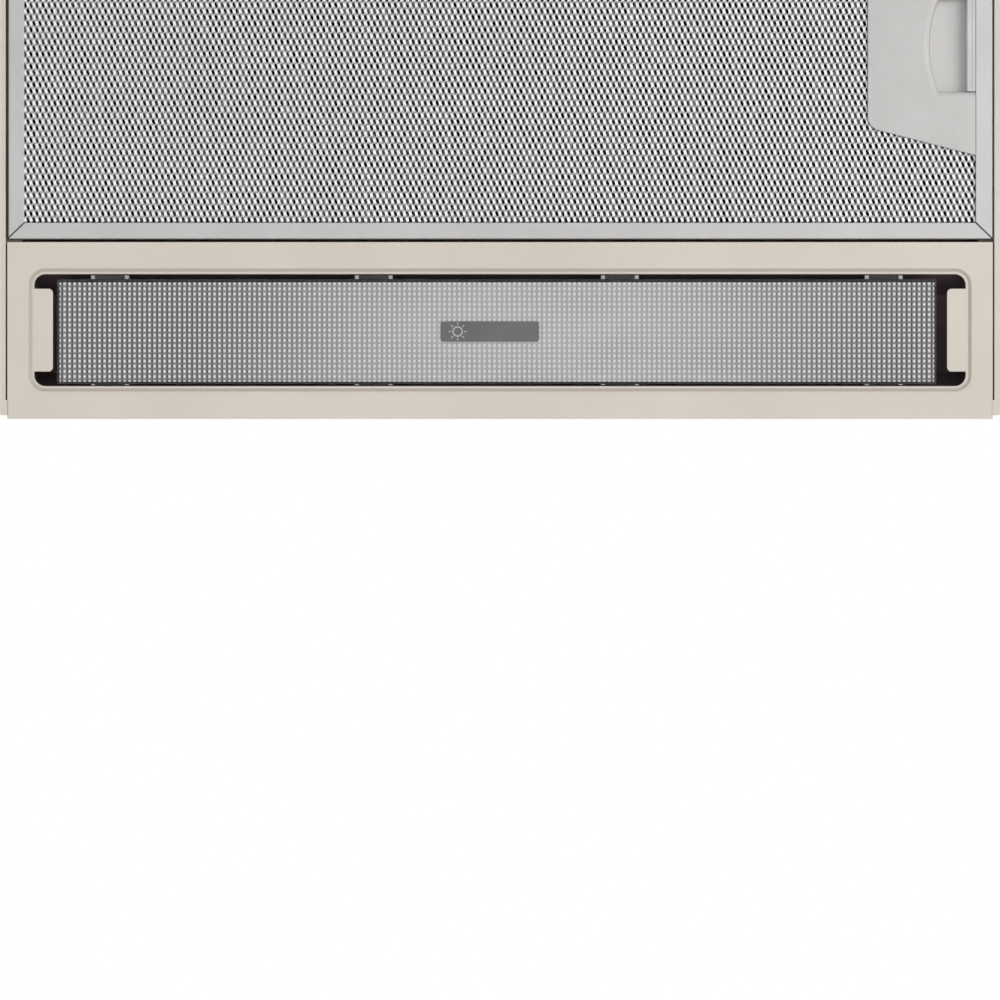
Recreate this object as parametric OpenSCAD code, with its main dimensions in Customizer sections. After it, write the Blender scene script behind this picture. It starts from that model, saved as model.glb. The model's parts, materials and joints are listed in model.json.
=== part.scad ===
// Under cabinet range hood, built as an assembly of separate pieces.
// Millimetres, +Z up, front towards -Y, right-hand side towards +X.
// The origin lies on the top face, at the centre of the four cabinet screw holes.

/* [Body] */
// Overall width across the side walls
hood_w = 500; // [490:1:560]
// Depth from the front edge to the rear wall
hood_d = 490; // [484:1:520]
// Height of the body below the cabinet
hood_h = 135; // [132:1:160]
// Depth of the flat top, measured from the rear wall
top_d = 290; // [286:1:296]
// Height of the front fascia
fascia_h = 45; // [42:1:50]
// Angle that the fascia leans back from the vertical
fascia_lean = 15; // [12:1:18]
// Thickness of the sheet steel
sheet = 0.8; // [0.7:0.1:1]
// Gap between sheet parts that sit beside each other
sheet_gap = 0.2; // [0.1:0.05:0.3]
// Width of the folded strip under each side wall
strip_w = 2.75; // [2.5:0.05:3.2]
// Distance that the side walls start behind the fascia
wall_setback = 2; // [1.5:0.1:3]
// Depth of the folded flange under the rear wall
rear_flange_d = 10.5; // [9:0.5:14]
// Width of the flanges that join the sheets
flange_w = 12; // [10:1:16]

/* [Front panel] */
// Width of the front panel between the side walls
panel_side_gap = 4.3; // [4:0.1:5]
// Depth of the underside of the front panel
panel_d = 88.5; // [86:0.5:92]
// Height of the lip along the rear of the front panel
panel_lip_h = 12; // [9:0.5:12]
// Length of the lamp opening
opening_l = 466; // [450:1:468]
// Depth of the lamp opening, front to back
opening_d = 56; // [55:0.5:58]
// Distance from the front edge to the lamp opening
opening_inset = 16.5; // [16:0.5:18]
// Corner radius of the lamp opening
opening_r = 5.5; // [3:0.5:8]
// Width of the stepped rim around the lamp opening
rim_w = 2.6; // [2:0.1:3]
// Height that the rim is stepped up
rim_step = 1; // [0.9:0.1:1.4]
// Length of the tongue at each end of the lamp opening
tab_l = 41.5; // [30:0.5:44]
// Reach of that tongue into the opening
tab_reach = 9.3; // [7:0.1:10]

/* [Lens] */
// Length of the lens
lens_l = 440; // [400:1:442]
// Depth of the lens, front to back
lens_d = 52.5; // [50:0.5:53]
// Thickness of the lens
lens_t = 1.8; // [1.5:0.1:2.5]
// How far the lens rests to the right, in the play of its opening
lens_shift = 1.6; // [0:0.1:2]
// Height of the skirt around the lens
lens_skirt_h = 5; // [3:0.5:5.5]
// Gap between the lens and the front edge of the opening
lens_front_gap = 1; // [0.8:0.1:1.5]
// Running gap of the lens clips
clip_gap = 0.3; // [0.2:0.05:0.5]
// Width of a lens clip
clip_w = 15; // [8:1:20]
// Length of the plain grey pad on the lens
pad_l = 49; // [30:1:60]
// Depth of that pad, front to back
pad_d = 10; // [8:0.5:16]
// Distance of that pad to the right of the middle of the lens
pad_right = 3.4; // [0:0.2:20]

/* [Lamps] */
// Height of the lamp housing
housing_h = 36; // [35:0.5:38]
// Thickness of the lamp housing
housing_t = 0.6; // [0.5:0.1:0.8]
// Radius of a tubular bulb
bulb_r = 12.5; // [10:0.5:13]
// Reach of a bulb from the middle of the hood
bulb_reach = 95; // [85:1:120]
// Radius of a bulb's screw base
bulb_base_r = 6.9; // [6:0.1:7.2]
// Radius of a lampholder
holder_r = 12; // [10:0.5:12.5]
// Length of a lampholder
holder_l = 34; // [28:1:38]

/* [Controls] */
// Distance of the controls from the middle of the fascia
control_x = 150; // [120:1:160]
// Length of the control bezel
bezel_l = 112; // [104:1:120]
// Height of the control bezel
bezel_h = 18; // [15:0.5:22]
// Thickness of the control bezel
bezel_t = 1.5; // [1.2:0.1:2]
// Travel of the speed slider from off to the third speed
speed_travel = 27; // [24:1:33]
// Travel of the light slider
light_travel = 9; // [6:0.5:12]
// Width of a slider knob
knob_w = 9; // [8:0.5:11]
// Height of a slider knob
knob_h = 10; // [8:0.5:12]
// Height that a slider knob stands out of the bezel
knob_out = 2.7; // [2.2:0.1:4]

/* [Fan] */
// Distance of the fan axis to the left of the middle
fan_left = 110; // [108:1:116]
// Distance of the fan axis in front of the origin
fan_front = 35; // [33:1:38]
// Outer radius of the impeller
impeller_r = 71; // [66:0.5:72]
// Inner radius of the impeller's blades
blade_in_r = 58; // [56:0.5:60]
// Number of blades
blade_count = 36; // [24:1:44]
// Thickness of a blade
blade_t = 0.9; // [0.8:0.1:1.4]
// Height of the scroll
scroll_h = 87; // [84:0.5:88]
// Wall of the scroll
scroll_t = 2; // [1.6:0.1:2.4]
// Growth of the scroll's radius from its tongue to its outlet
scroll_growth = 33; // [28:1:34]
// Radius of the motor
motor_r = 38; // [32:0.5:38.5]
// Height of the motor
motor_h = 45; // [38:0.5:46]
// Radius of the motor shaft
shaft_r = 4; // [3:0.1:5]
// Radial running gap of the motor shaft
shaft_gap = 0.05; // [0.03:0.01:0.1]

// Distance from the capacitor to the right-hand side
capacitor_inset = 50; // [46:1:56]
// Distance of the capacitor behind the origin
capacitor_back = 40; // [30:1:50]
// Radius of the capacitor
capacitor_r = 15; // [12:0.5:18]
// Height of the capacitor
capacitor_h = 46; // [40:1:52]

/* [Duct] */
// Outer radius of the duct collar
collar_r = 60; // [58:0.5:62.5]
// Wall of the duct collar
collar_t = 2; // [1.6:0.1:2.4]
// Height of the duct collar above the top face
collar_h = 45; // [40:1:60]
// Distance from the duct collar's axis to the rear wall
collar_inset = 110; // [108:1:114]
// Thickness of a damper flap
flap_t = 1.2; // [1:0.1:1.6]
// Radius of the damper pin
pin_r = 1.5; // [1.2:0.1:2]

/* [Filters] */
// Width of the frame bars
bar_w = 8; // [7:0.5:9]
// Thickness of a filter cassette
cassette_t = 9; // [9:0.1:9.6]
// Wall of the frame bars
bar_t = 0.8; // [0.6:0.1:1]
// Gap between a cassette and the side strips
cassette_side_gap = 1.25; // [1.25:0.05:1.4]
// Gap between the front panel and the front cassette
cassette_front_gap = 1.75; // [1:0.05:2.5]
// Gap between the two cassettes
cassette_mid_gap = 1; // [0.8:0.1:2]
// Gap between the rear cassette and the rear flange
cassette_rear_gap = 1.25; // [1:0.05:2]
// Height of the cassettes above the lowest edge
cassette_raise = 0.5; // [0.3:0.1:0.6]
// Thickness of an outer mesh layer
mesh_t = 0.6; // [0.4:0.1:0.8]
// Pitch of the pleats between the mesh layers
pleat_pitch = 10.25; // [8:0.25:14]
// Thickness of the pleated layer
pleat_t = 0.4; // [0.3:0.1:0.6]
// Reach of the handle plate inward from the frame bar
handle_reach = 54; // [46:0.5:60]
// Half length of the handle plate at its inner edge
handle_half_in = 40; // [36:0.5:43]
// Half length of the handle plate at the frame bar
handle_half_out = 55; // [50:0.5:60]
// Half length of the finger pocket
pocket_half = 23.4; // [20:0.2:25]
// Depth of the finger pocket
pocket_depth = 6.2; // [5.6:0.1:6.4]
// Travel of the latch
latch_travel = 2.5; // [2.2:0.1:2.8]

/* [Supply] */
// Distance from the cable gland to the right-hand side
gland_inset = 80; // [70:1:100]
// Distance of the cable gland below the top face
gland_drop = 32; // [30:1:40]
// Width of the terminal box
box_w = 70; // [60:1:90]
// Depth of the terminal box
box_d = 34; // [30:1:40]
// Height of the terminal box
box_h = 46; // [40:1:50]
// Wall of the terminal box
box_wall = 2; // [1.5:0.1:2.5]

/* [Mounting] */
// Distance between the cabinet screws, left to right
screw_dx = 420; // [400:1:424]
// Distance between the cabinet screws, front to back
screw_dy = 220; // [216:1:224]
// Radius of the cabinet screw holes
screw_hole_r = 2.75; // [2.25:0.05:3.25]
// Distance from the rear screws to the rear wall
screw_inset = 40; // [38:1:44]
// Radius of the bore through the cable gland
gland_bore_r = 4; // [3:0.25:5]

/* [Hidden] */
$fn = 64;
facet_fn = 32;
tiny = 0.01;
round_fit = 0.05;
press_fit = 0.02;

// Colours
cream = [0.86, 0.82, 0.77];
alu = [0.80, 0.80, 0.79];
steel = [0.66, 0.67, 0.68];
dark = [0.16, 0.15, 0.16];
grey_plastic = [0.42, 0.42, 0.44];

// Main places
rear_y = screw_dy / 2 + screw_inset;
front_y = rear_y - hood_d;
top_y = rear_y - top_d;
bottom_z = -hood_h;
half_w = hood_w / 2;
fascia_top_y = front_y + fascia_h * tan(fascia_lean);
fascia_top_z = bottom_z + fascia_h;
fascia_len = fascia_h / cos(fascia_lean);
slope_angle = atan2(-fascia_top_z, top_y - fascia_top_y);
slope_dir = [cos(slope_angle), sin(slope_angle)];
wall_front_y = front_y + wall_setback;
wall_in_x = half_w - sheet;
strip_x = half_w - strip_w;
sheet_half = wall_in_x - sheet_gap;

// Front panel and lens places
panel_half = half_w - panel_side_gap;
panel_rear_y = front_y + panel_d;
rim_top_z = bottom_z + rim_step + sheet;
opening_y = front_y + opening_inset + opening_d / 2;
lens_y = front_y + opening_inset + lens_front_gap + lens_d / 2;
lens_z = bottom_z + 0.6;
lens_rear_gap = opening_d - lens_d - lens_front_gap;
clip_top_z = rim_top_z + 4;
clip_spots = [-0.44 * lens_l, -0.14 * lens_l, 0.14 * lens_l, 0.44 * lens_l];
pad_t = 0.4;
tab_r = 2.3;
side_flange_h = 10;
control_lift = 0.52 * fascia_len;

// Lamp housing places
housing_foot = 1.8;
housing_inset = 1.5;
housing_knee_h = 9;
housing_taper = 9.5;
bulb_z = bottom_z + 20;
holder_gap = 2;
holder_bore_d = 22;
bulb_neck = 4;

// Cassette places
cassette_half = strip_x - cassette_side_gap;
cassette_z = bottom_z + cassette_raise;
cassette_top_z = cassette_z + cassette_t;
cassette_d = (hood_d - panel_d - rear_flange_d - cassette_front_gap - cassette_mid_gap
              - cassette_rear_gap) / 2;
front_cassette_y = panel_rear_y + cassette_front_gap + cassette_d / 2;
rear_cassette_y = front_cassette_y + cassette_d + cassette_mid_gap;
ledge_z = cassette_top_z + 0.3;
ledge_w = 6.7;
hinge_z = cassette_z + 1.6;
bead_r = 0.8;
bead_x = strip_x + sheet / 2;
bead_l = 20;
bead_gap = 0.3;
tongue_t = 1;
tongue_spread = 0.33 * cassette_d;
mesh_inset = bar_t + 0.4;
pleat_low_z = cassette_z + bar_t + mesh_t;
pleat_high_z = cassette_top_z - bar_t - mesh_t;
bar_in_x = cassette_half - bar_w;
pocket_in_x = bar_in_x - 26.5;
pocket_bulge = 4.5;
pocket_wall = 1;
latch_lip_w = 4.1;
latch_half = pocket_half - 0.4;
latch_gap = 0.3;
bolt_half = 7;
bolt_z = cassette_z + 3.2;
bolt_t = 2;
bolt_tip_x = strip_x - 0.25;
latch_bar_t = 1.2;
latch_bar_x = cassette_half - bar_t - latch_gap - latch_bar_t;
spring_y = 15;
spring_r = 1.4;
spring_wire_r = 0.25;
spring_turns = 3;
spring_solid = 2 * spring_turns * spring_wire_r;
spring_stop_t = 1;
spring_stop_x = latch_bar_x - latch_travel - spring_solid - spring_stop_t;
catch_out = 0.9;

// Supply places
gland_x = half_w - gland_inset;
gland_z = -gland_drop;
gland_thread_r = gland_bore_r + 3;
gland_nut_r = gland_thread_r + 3;
gland_nut_t = 6;
gland_cap_t = 5;

// Fan and duct places
fan_x = -fan_left;
fan_y = -fan_front;
collar_y = rear_y - collar_inset;
chamber_r = collar_r + 2;
bore_r = collar_r - collar_t;
tongue_a = 60;
scroll_gap = 6;
scroll_top_z = -sheet;
scroll_low_z = -sheet - scroll_h;
scroll_split_z = scroll_top_z - 0.52 * scroll_h;
scroll_lip = 6;
bracket_z = scroll_top_z - scroll_t;
bracket_t = 2;
bracket_r = motor_r + 10;
motor_top_z = bracket_z - bracket_t;
impeller_top_z = motor_top_z - 3;
impeller_plate = 1.5;
impeller_low_z = scroll_low_z + scroll_t + 6.5;
dish_in_r = motor_r + 2.5;
dish_t = 1.2;
dish_low_z = motor_top_z - motor_h - 4;
hub_r = 8;
hub_drop = 12;
shaft_low_z = dish_low_z - hub_drop + 1;
inlet_r = blade_in_r - 3;
lug_r = 7;
screw_r = 1.6;
screw_clear = 0.15;
flange_r = collar_r + 18;
flange_t = 2;
pin_z = 9;
flap_r = bore_r - 0.8;
knuckle_r = pin_r + 1.1;
knuckle_gap = 0.1;
knuckle_pitch = 24.5;
knuckle_l = knuckle_pitch - 2;
flap_edge = knuckle_r + 0.6;
stop_w = 2.5;
stop_t = 2;

function dir(v) = v / norm(v);
function left_of(v) = [-v[1], v[0]];
function reversed(p) = [for (i = [len(p) - 1 : -1 : 0]) p[i]];

// The path of a bent sheet, moved by t to its left with sharp bends
function moved_left(p, t) = [for (i = [0 : len(p) - 1])
    let (last = len(p) - 1,
         a = left_of(dir(i > 0 ? p[i] - p[i - 1] : p[1] - p[0])),
         b = left_of(dir(i < last ? p[i + 1] - p[i] : p[last] - p[last - 1])))
    p[i] + t * (a + b) / (1 + a * b)];

// Stands a side view, drawn as front-to-back and height, up across the width
module across(w) {
  rotate([90, 0, 90]) linear_extrude(w, center = true) children();
}

// A sheet bent along a path in side view, its thickness to the left of the path
module bent_sheet(path, w, t) {
  across(w) polygon(concat(path, reversed(moved_left(path, t))));
}

// A block between two opposite corners
module block(a, b) {
  translate(a) cube(b - a);
}

module round_rect(w, h, r) {
  square([w - 2 * r, h], center = true);
  square([w, h - 2 * r], center = true);
  for (sx = [-1, 1], sy = [-1, 1])
    translate([sx * (w / 2 - r), sy * (h / 2 - r)]) circle(r);
}

// A tube swept along points, with ref held across the tube's own direction
module tube(path, r, sides, ref) {
  last = len(path) - 1;
  rings = [for (i = [0 : last])
    let (t = dir(path[min(i + 1, last)] - path[max(i - 1, 0)]),
         u = dir(cross(t, ref)),
         v = cross(t, u))
    for (k = [0 : sides - 1])
      path[i] + r * (cos(360 * k / sides) * u + sin(360 * k / sides) * v)];
  sides_faces = [for (i = [0 : last - 1], k = [0 : sides - 1])
    let (next = (k + 1) % sides)
    [i * sides + k, (i + 1) * sides + k, (i + 1) * sides + next, i * sides + next]];
  start_cap = [for (k = [0 : sides - 1]) k];
  end_cap = [for (k = [sides - 1 : -1 : 0]) last * sides + k];
  polyhedron(rings, concat([start_cap], sides_faces, [end_cap]));
}

// Places children on the fascia: X along it, Y behind it, Z up it
module on_fascia(x, up) {
  translate([0, front_y, bottom_z]) rotate([-fascia_lean, 0, 0])
    translate([x, 0, up]) children();
}

// ---------------------------------------------------------------- housing

module side_profile() {
  front_rise = wall_setback * tan(slope_angle);
  polygon([[wall_front_y, bottom_z],
           [fascia_top_y + wall_setback, fascia_top_z + front_rise],
           [top_y, 0], [rear_y, 0], [rear_y, bottom_z]]);
}

// length of the filler at the front of the strip, and where the return starts behind it
filler_l = 7.5;
return_set = 6;
// distance that a flange stops short of the flange across its end
flange_end_gap = 4;

// The right-hand side wall: outer sheet, folded strip, return and filter ledge
module side_wall() {
  return_end_y = rear_y - sheet - sheet_gap;
  filler_end_y = wall_front_y + filler_l;
  return_start_y = wall_front_y + return_set;
  ledge_start_y = panel_rear_y + 1;
  ledge_end_y = rear_y - rear_flange_d - sheet_gap;
  flange_set = wall_setback * cos(fascia_lean);
  translate([half_w - sheet / 2, 0, 0]) across(sheet) side_profile();
  block([strip_x, wall_front_y, bottom_z], [half_w, return_end_y, bottom_z + sheet]);
  block([panel_half + sheet_gap, wall_front_y, bottom_z],
        [half_w, filler_end_y, bottom_z + sheet]);
  block([strip_x, return_start_y, bottom_z],
        [strip_x + sheet, return_end_y, ledge_z + sheet]);
  block([strip_x - ledge_w, ledge_start_y, ledge_z],
        [strip_x + sheet, ledge_end_y, ledge_z + sheet]);
  // flanges under the top panel, inside the rear wall and behind the fascia
  block([half_w - flange_w, top_y + 2, -2 * sheet],
        [wall_in_x + tiny, rear_y - flange_w - 1, -sheet]);
  block([half_w - flange_w, rear_y - 2 * sheet, bottom_z + 3],
        [wall_in_x + tiny, rear_y - sheet, -flange_end_gap]);
  on_fascia(0, 0)
    block([half_w - flange_w, flange_set, (flange_set + sheet) * tan(fascia_lean) + 2 * sheet],
          [wall_in_x + tiny, flange_set + sheet, fascia_len - flange_w - flange_end_gap]);
}

// The slots in the right-hand return that take the beads of the cassettes
module bead_slots() {
  for (y = [front_cassette_y, rear_cassette_y], s = [-1, 1])
    translate([bead_x, y + s * tongue_spread, hinge_z])
      cube([3 * sheet / 2, bead_l + 2 * bead_gap, 2 * (bead_r + bead_gap)], center = true);
}

module side_wall_right() {
  color(cream) difference() {
    side_wall();
    bead_slots();
  }
}

module side_wall_left() {
  color(cream) mirror([1, 0, 0]) side_wall();
}

// A round hole through the top sheet
module top_hole(r) {
  translate([0, 0, -sheet - 1]) cylinder(h = sheet + 2, r = r);
}

module cabinet_holes() {
  for (sx = [-1, 1], sy = [-1, 1])
    translate([sx * screw_dx / 2, sy * screw_dy / 2, 0]) top_hole(screw_hole_r);
}

module top_panel() {
  color(cream) difference() {
    bent_sheet([[rear_y, 0], [top_y, 0], [fascia_top_y, fascia_top_z]], 2 * sheet_half, sheet);
    translate([0, collar_y, 0]) top_hole(bore_r);
    cabinet_holes();
    at_scroll_screws() top_hole(screw_r + screw_clear);
    at_collar_screws() top_hole(screw_r + screw_clear);
  }
}

module rear_wall() {
  lip_y = rear_y - rear_flange_d;
  color(cream) difference() {
    union() {
      bent_sheet([[rear_y, bottom_z], [rear_y, -sheet], [rear_y - flange_w, -sheet]],
                 2 * sheet_half, sheet);
      bent_sheet([[lip_y, ledge_z + sheet], [lip_y, bottom_z], [rear_y, bottom_z],
                  [rear_y, bottom_z + flange_w]], 2 * (strip_x - sheet_gap), sheet);
    }
    translate([gland_x, rear_y + 1, gland_z]) rotate([90, 0, 0])
      cylinder(h = sheet + 2, r = gland_thread_r + round_fit);
  }
}

module rim_shape(extra) {
  translate([0, opening_y])
    round_rect(opening_l + 2 * extra, opening_d + 2 * extra, opening_r + extra);
}

module front_panel() {
  drop = sheet / cos(fascia_lean + slope_angle);
  top_corner = [fascia_top_y - drop * sin(fascia_lean), fascia_top_z - drop * cos(fascia_lean)];
  flange_end = top_corner + flange_w * slope_dir;
  flange_set = wall_setback * cos(fascia_lean);
  side_start_y = wall_front_y + filler_l + 0.5;
  notch = 2;
  color(cream) {
    difference() {
      union() {
        bent_sheet([flange_end, top_corner, [front_y, bottom_z], [panel_rear_y, bottom_z],
                    [panel_rear_y, bottom_z + panel_lip_h]], 2 * panel_half, sheet);
        for (s = [-1, 1]) {
          // the returned edges of the fascia and of the underside
          on_fascia(0, 0)
            block([s * (panel_half - sheet / 2) - sheet / 2, 0, 2],
                  [s * (panel_half - sheet / 2) + sheet / 2, flange_set,
                   fascia_len - flange_w - flange_end_gap]);
          block([s * (panel_half - sheet / 2) - sheet / 2, side_start_y, bottom_z],
                [s * (panel_half - sheet / 2) + sheet / 2, panel_rear_y - notch,
                 bottom_z + side_flange_h]);
        }
        translate([0, 0, bottom_z]) linear_extrude(rim_step + sheet) rim_shape(rim_w + sheet);
      }
      translate([0, 0, bottom_z - 1]) linear_extrude(rim_step + 1) rim_shape(rim_w);
      translate([0, 0, bottom_z - 1]) linear_extrude(rim_step + sheet + 2) rim_shape(0);
      for (s = [-1, 1])
        block([s * panel_half - notch, panel_rear_y - notch, bottom_z + sheet],
              [s * panel_half + notch, panel_rear_y + 1, bottom_z + panel_lip_h + 1]);
      control_windows();
    }
    for (s = [-1, 1])
      translate([s * (opening_l / 2 - tab_reach / 2 + 1), opening_y, bottom_z + rim_step])
        linear_extrude(sheet) round_rect(tab_reach + 2, tab_l, tab_r);
  }
}

// A hat section across the hood, over the joint between the two cassettes
module centre_rail() {
  y = front_cassette_y + cassette_d / 2 + cassette_mid_gap / 2;
  z = ledge_z + sheet;
  hat_half = 5;
  hat_h = 5;
  foot_y = hat_half + 8;
  color(steel)
    bent_sheet([[y - foot_y, z], [y - hat_half, z], [y - hat_half, z + hat_h],
                [y + hat_half, z + hat_h], [y + hat_half, z], [y + foot_y, z]],
               2 * strip_x - 2 * sheet_gap, sheet);
}

// ---------------------------------------------------------------- lamps

housing_front = front_y + opening_inset - housing_inset;
housing_rear = front_y + opening_inset + opening_d + housing_inset;

function housing_path() = [[housing_front - housing_foot, rim_top_z],
    [housing_front, rim_top_z], [housing_front, bottom_z + housing_knee_h],
    [housing_front + housing_taper, bottom_z + housing_h],
    [housing_rear - housing_taper, bottom_z + housing_h],
    [housing_rear, bottom_z + housing_knee_h], [housing_rear, rim_top_z],
    [housing_rear + housing_foot, rim_top_z]];

module lamp_housing() {
  path = housing_path();
  half = opening_l / 2 + housing_inset;
  inner = [for (i = [1 : len(path) - 2]) path[i]];
  color([0.9, 0.9, 0.88]) {
    bent_sheet(path, 2 * half, housing_t);
    for (s = [-1, 1]) translate([s * (half + housing_t / 2 - tiny), 0, 0])
      across(housing_t) polygon(inner);
  }
}

module lampholder_bracket() {
  top = bottom_z + housing_h;
  half_d = 11;
  foot_half = 12;
  foot_t = 1.5;
  color(steel) {
    block([-holder_gap, opening_y - half_d, bulb_z - holder_r + 2],
          [holder_gap, opening_y + half_d, top]);
    block([-foot_half, opening_y - half_d, top - foot_t], [foot_half, opening_y + half_d, top]);
  }
}

// A lampholder on the +X side of the bracket
module lampholder() {
  thread_gap = 0.2;
  translate([holder_gap, opening_y, bulb_z]) rotate([0, 90, 0]) difference() {
    cylinder(h = holder_l, r = holder_r);
    translate([0, 0, holder_l - holder_bore_d])
      cylinder(h = holder_bore_d + 1, r = bulb_base_r + thread_gap);
  }
}

module lampholder_right() {
  color([0.93, 0.92, 0.88]) lampholder();
}

module lampholder_left() {
  color([0.93, 0.92, 0.88]) mirror([1, 0, 0]) lampholder();
}

// A tubular bulb on the +X side: screw base, neck, tube and round end
module bulb() {
  base_x = holder_gap + holder_l - holder_bore_d;
  neck_x = holder_gap + holder_l + 1;
  tube_x = neck_x + bulb_neck;
  end_x = bulb_reach - bulb_r;
  translate([0, opening_y, bulb_z]) rotate([0, 90, 0]) {
    translate([0, 0, base_x]) cylinder(h = neck_x - base_x + tiny, r = bulb_base_r);
    translate([0, 0, neck_x]) cylinder(h = bulb_neck + tiny, r1 = bulb_base_r, r2 = bulb_r);
    translate([0, 0, tube_x]) cylinder(h = end_x - tube_x, r = bulb_r);
    translate([0, 0, end_x]) sphere(bulb_r);
  }
}

module bulb_right() {
  color([0.95, 0.95, 0.92]) bulb();
}

module bulb_left() {
  color([0.95, 0.95, 0.92]) mirror([1, 0, 0]) bulb();
}

module lens() {
  wall = 1.2;
  half_l = lens_l / 2;
  y0 = lens_y - lens_d / 2;
  y1 = lens_y + lens_d / 2;
  top = lens_z + lens_t;
  color([0.8, 0.82, 0.84, 0.5]) translate([lens_shift, 0, 0]) {
    difference() {
      block([-half_l, y0, lens_z], [half_l, y1, lens_z + lens_skirt_h]);
      block([-half_l + wall, y0 + wall, top], [half_l - wall, y1 - wall, top + lens_skirt_h]);
    }
    for (x = clip_spots) {
      block([x - clip_w / 2, y0 - lens_front_gap + clip_gap, lens_z],
            [x + clip_w / 2, y0 + wall, clip_top_z]);
      block([x - clip_w / 2, y1 - wall, lens_z],
            [x + clip_w / 2, y1 + lens_rear_gap - clip_gap, clip_top_z]);
    }
  }
}

module lens_pad() {
  color([0.4, 0.4, 0.42]) translate([lens_shift + pad_right, lens_y, lens_z - pad_t])
    linear_extrude(pad_t) round_rect(pad_l, pad_d, 1);
}

// ---------------------------------------------------------------- controls

stem_w = 6;
stem_h = 3;
slot_gap = 0.5;
speed_slot_l = speed_travel + stem_w + 2 * slot_gap;
light_slot_l = light_travel + stem_w + 2 * slot_gap;
slot_h = stem_h + 2 * slot_gap;
// places of the two slots along the bezel, as shares of its length
speed_slot_share = -0.2;
light_slot_share = 0.3;
speed_slot_x = control_x + speed_slot_share * bezel_l;
light_slot_x = control_x + light_slot_share * bezel_l;
bezel_r = 4;
switch_depth = 9;
groove_d = 4;

// The two slots, as blocks from y0 to y1 through the fascia
module slots(y0, y1, extra) {
  for (s = [[speed_slot_x, speed_slot_l], [light_slot_x, light_slot_l]])
    on_fascia(s[0], control_lift)
      block([-s[1] / 2 - extra, y0, -slot_h / 2 - extra], [s[1] / 2 + extra, y1, slot_h / 2 + extra]);
}

module control_windows() {
  slots(-1, sheet + 1, 0.5);
}

module control_bezel() {
  color(grey_plastic) difference() {
    on_fascia(control_x, control_lift) rotate([90, 0, 0])
      linear_extrude(bezel_t) round_rect(bezel_l, bezel_h, bezel_r);
    slots(-bezel_t - 1, 1, 0);
  }
}

module switch_body() {
  half_l = bezel_l / 2 - bezel_r;
  half_h = bezel_h / 2 - 2;
  color(dark) difference() {
    on_fascia(control_x, control_lift)
      block([-half_l, sheet, -half_h], [half_l, sheet + switch_depth, half_h]);
    slots(0, sheet + groove_d, 0.5);
  }
}

module knob(slot_x, slot_l) {
  groove_pitch = 2;
  groove_half = 0.3;
  groove_depth = 0.5;
  on_fascia(slot_x - slot_l / 2 + slot_gap + stem_w / 2, control_lift) {
    block([-stem_w / 2, -bezel_t - clip_gap - tiny, -stem_h / 2],
          [stem_w / 2, sheet + groove_d - clip_gap, stem_h / 2]);
    difference() {
      block([-knob_w / 2, -bezel_t - knob_out, -knob_h / 2],
            [knob_w / 2, -bezel_t - clip_gap, knob_h / 2]);
      for (x = [-groove_pitch, 0, groove_pitch])
        block([x - groove_half, -bezel_t - knob_out - 1, -knob_h / 2 + 1],
              [x + groove_half, -bezel_t - knob_out + groove_depth, knob_h / 2 - 1]);
    }
  }
}

module speed_knob() {
  color(dark) knob(speed_slot_x, speed_slot_l);
}

module light_knob() {
  color(dark) knob(light_slot_x, light_slot_l);
}

// ---------------------------------------------------------------- fan

function on_circle(centre, r, a) = centre + r * [cos(a), sin(a)];

fan_centre = [fan_x, fan_y];
collar_centre = [0, collar_y];
scroll_sweep = 360 - tongue_a;
scroll_steps = 60;

// Radius of the scroll at an angle from the +X direction
function scroll_r(a) = impeller_r + scroll_gap + scroll_growth * (a - tongue_a) / scroll_sweep;

// Outline of the scroll and its outlet chamber, grown by extra
module scroll_outline(extra) {
  hold_r = chamber_r + extra - scroll_hold;
  spiral = [for (i = [0 : scroll_steps])
    let (a = tongue_a + scroll_sweep * i / scroll_steps)
    on_circle(fan_centre, scroll_r(a) + extra, a)];
  chamber = [on_circle(collar_centre, hold_r, outlet_a), collar_centre,
             on_circle(collar_centre, hold_r, 180)];
  polygon(concat(spiral, chamber));
  translate(collar_centre) circle(chamber_r + extra);
}

module scroll_wall(z0, z1) {
  translate([0, 0, z0]) linear_extrude(z1 - z0) difference() {
    scroll_outline(scroll_t);
    scroll_outline(0);
  }
}

module scroll_joint(z0, z1) {
  translate([0, 0, z0]) linear_extrude(z1 - z0) difference() {
    scroll_outline(scroll_t + scroll_lip);
    scroll_outline(scroll_t / 2);
  }
}

// angles of the screws round the fan, and of the one round the collar
scroll_lugs = [125, 190, 240];
outlet_lug = 45;
outlet_a = -50;
scroll_hold = 3;

// Puts children at each screw that holds the scroll under the top panel
module at_scroll_screws() {
  for (a = scroll_lugs)
    translate(concat(on_circle(fan_centre, scroll_r(a) + scroll_t + lug_r - 1, a), 0)) children();
  translate(concat(on_circle(collar_centre, chamber_r + scroll_t + lug_r - 1, outlet_lug), 0))
    children();
}

module scroll_upper() {
  color(dark) difference() {
    union() {
      translate([0, 0, bracket_z]) linear_extrude(scroll_t) scroll_outline(scroll_t);
      at_scroll_screws() translate([0, 0, bracket_z]) cylinder(h = scroll_t, r = lug_r);
      scroll_wall(scroll_split_z, bracket_z + tiny);
      scroll_joint(scroll_split_z, scroll_split_z + 2);
    }
    translate([0, collar_y, bracket_z - 1]) cylinder(h = scroll_t + 2, r = bore_r);
    translate([0, 0, bracket_z - 1]) {
      at_scroll_screws() cylinder(h = scroll_t + 2, r = screw_r + screw_clear);
      at_motor_screws() cylinder(h = scroll_t + 2, r = screw_r + screw_clear);
    }
  }
}

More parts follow.
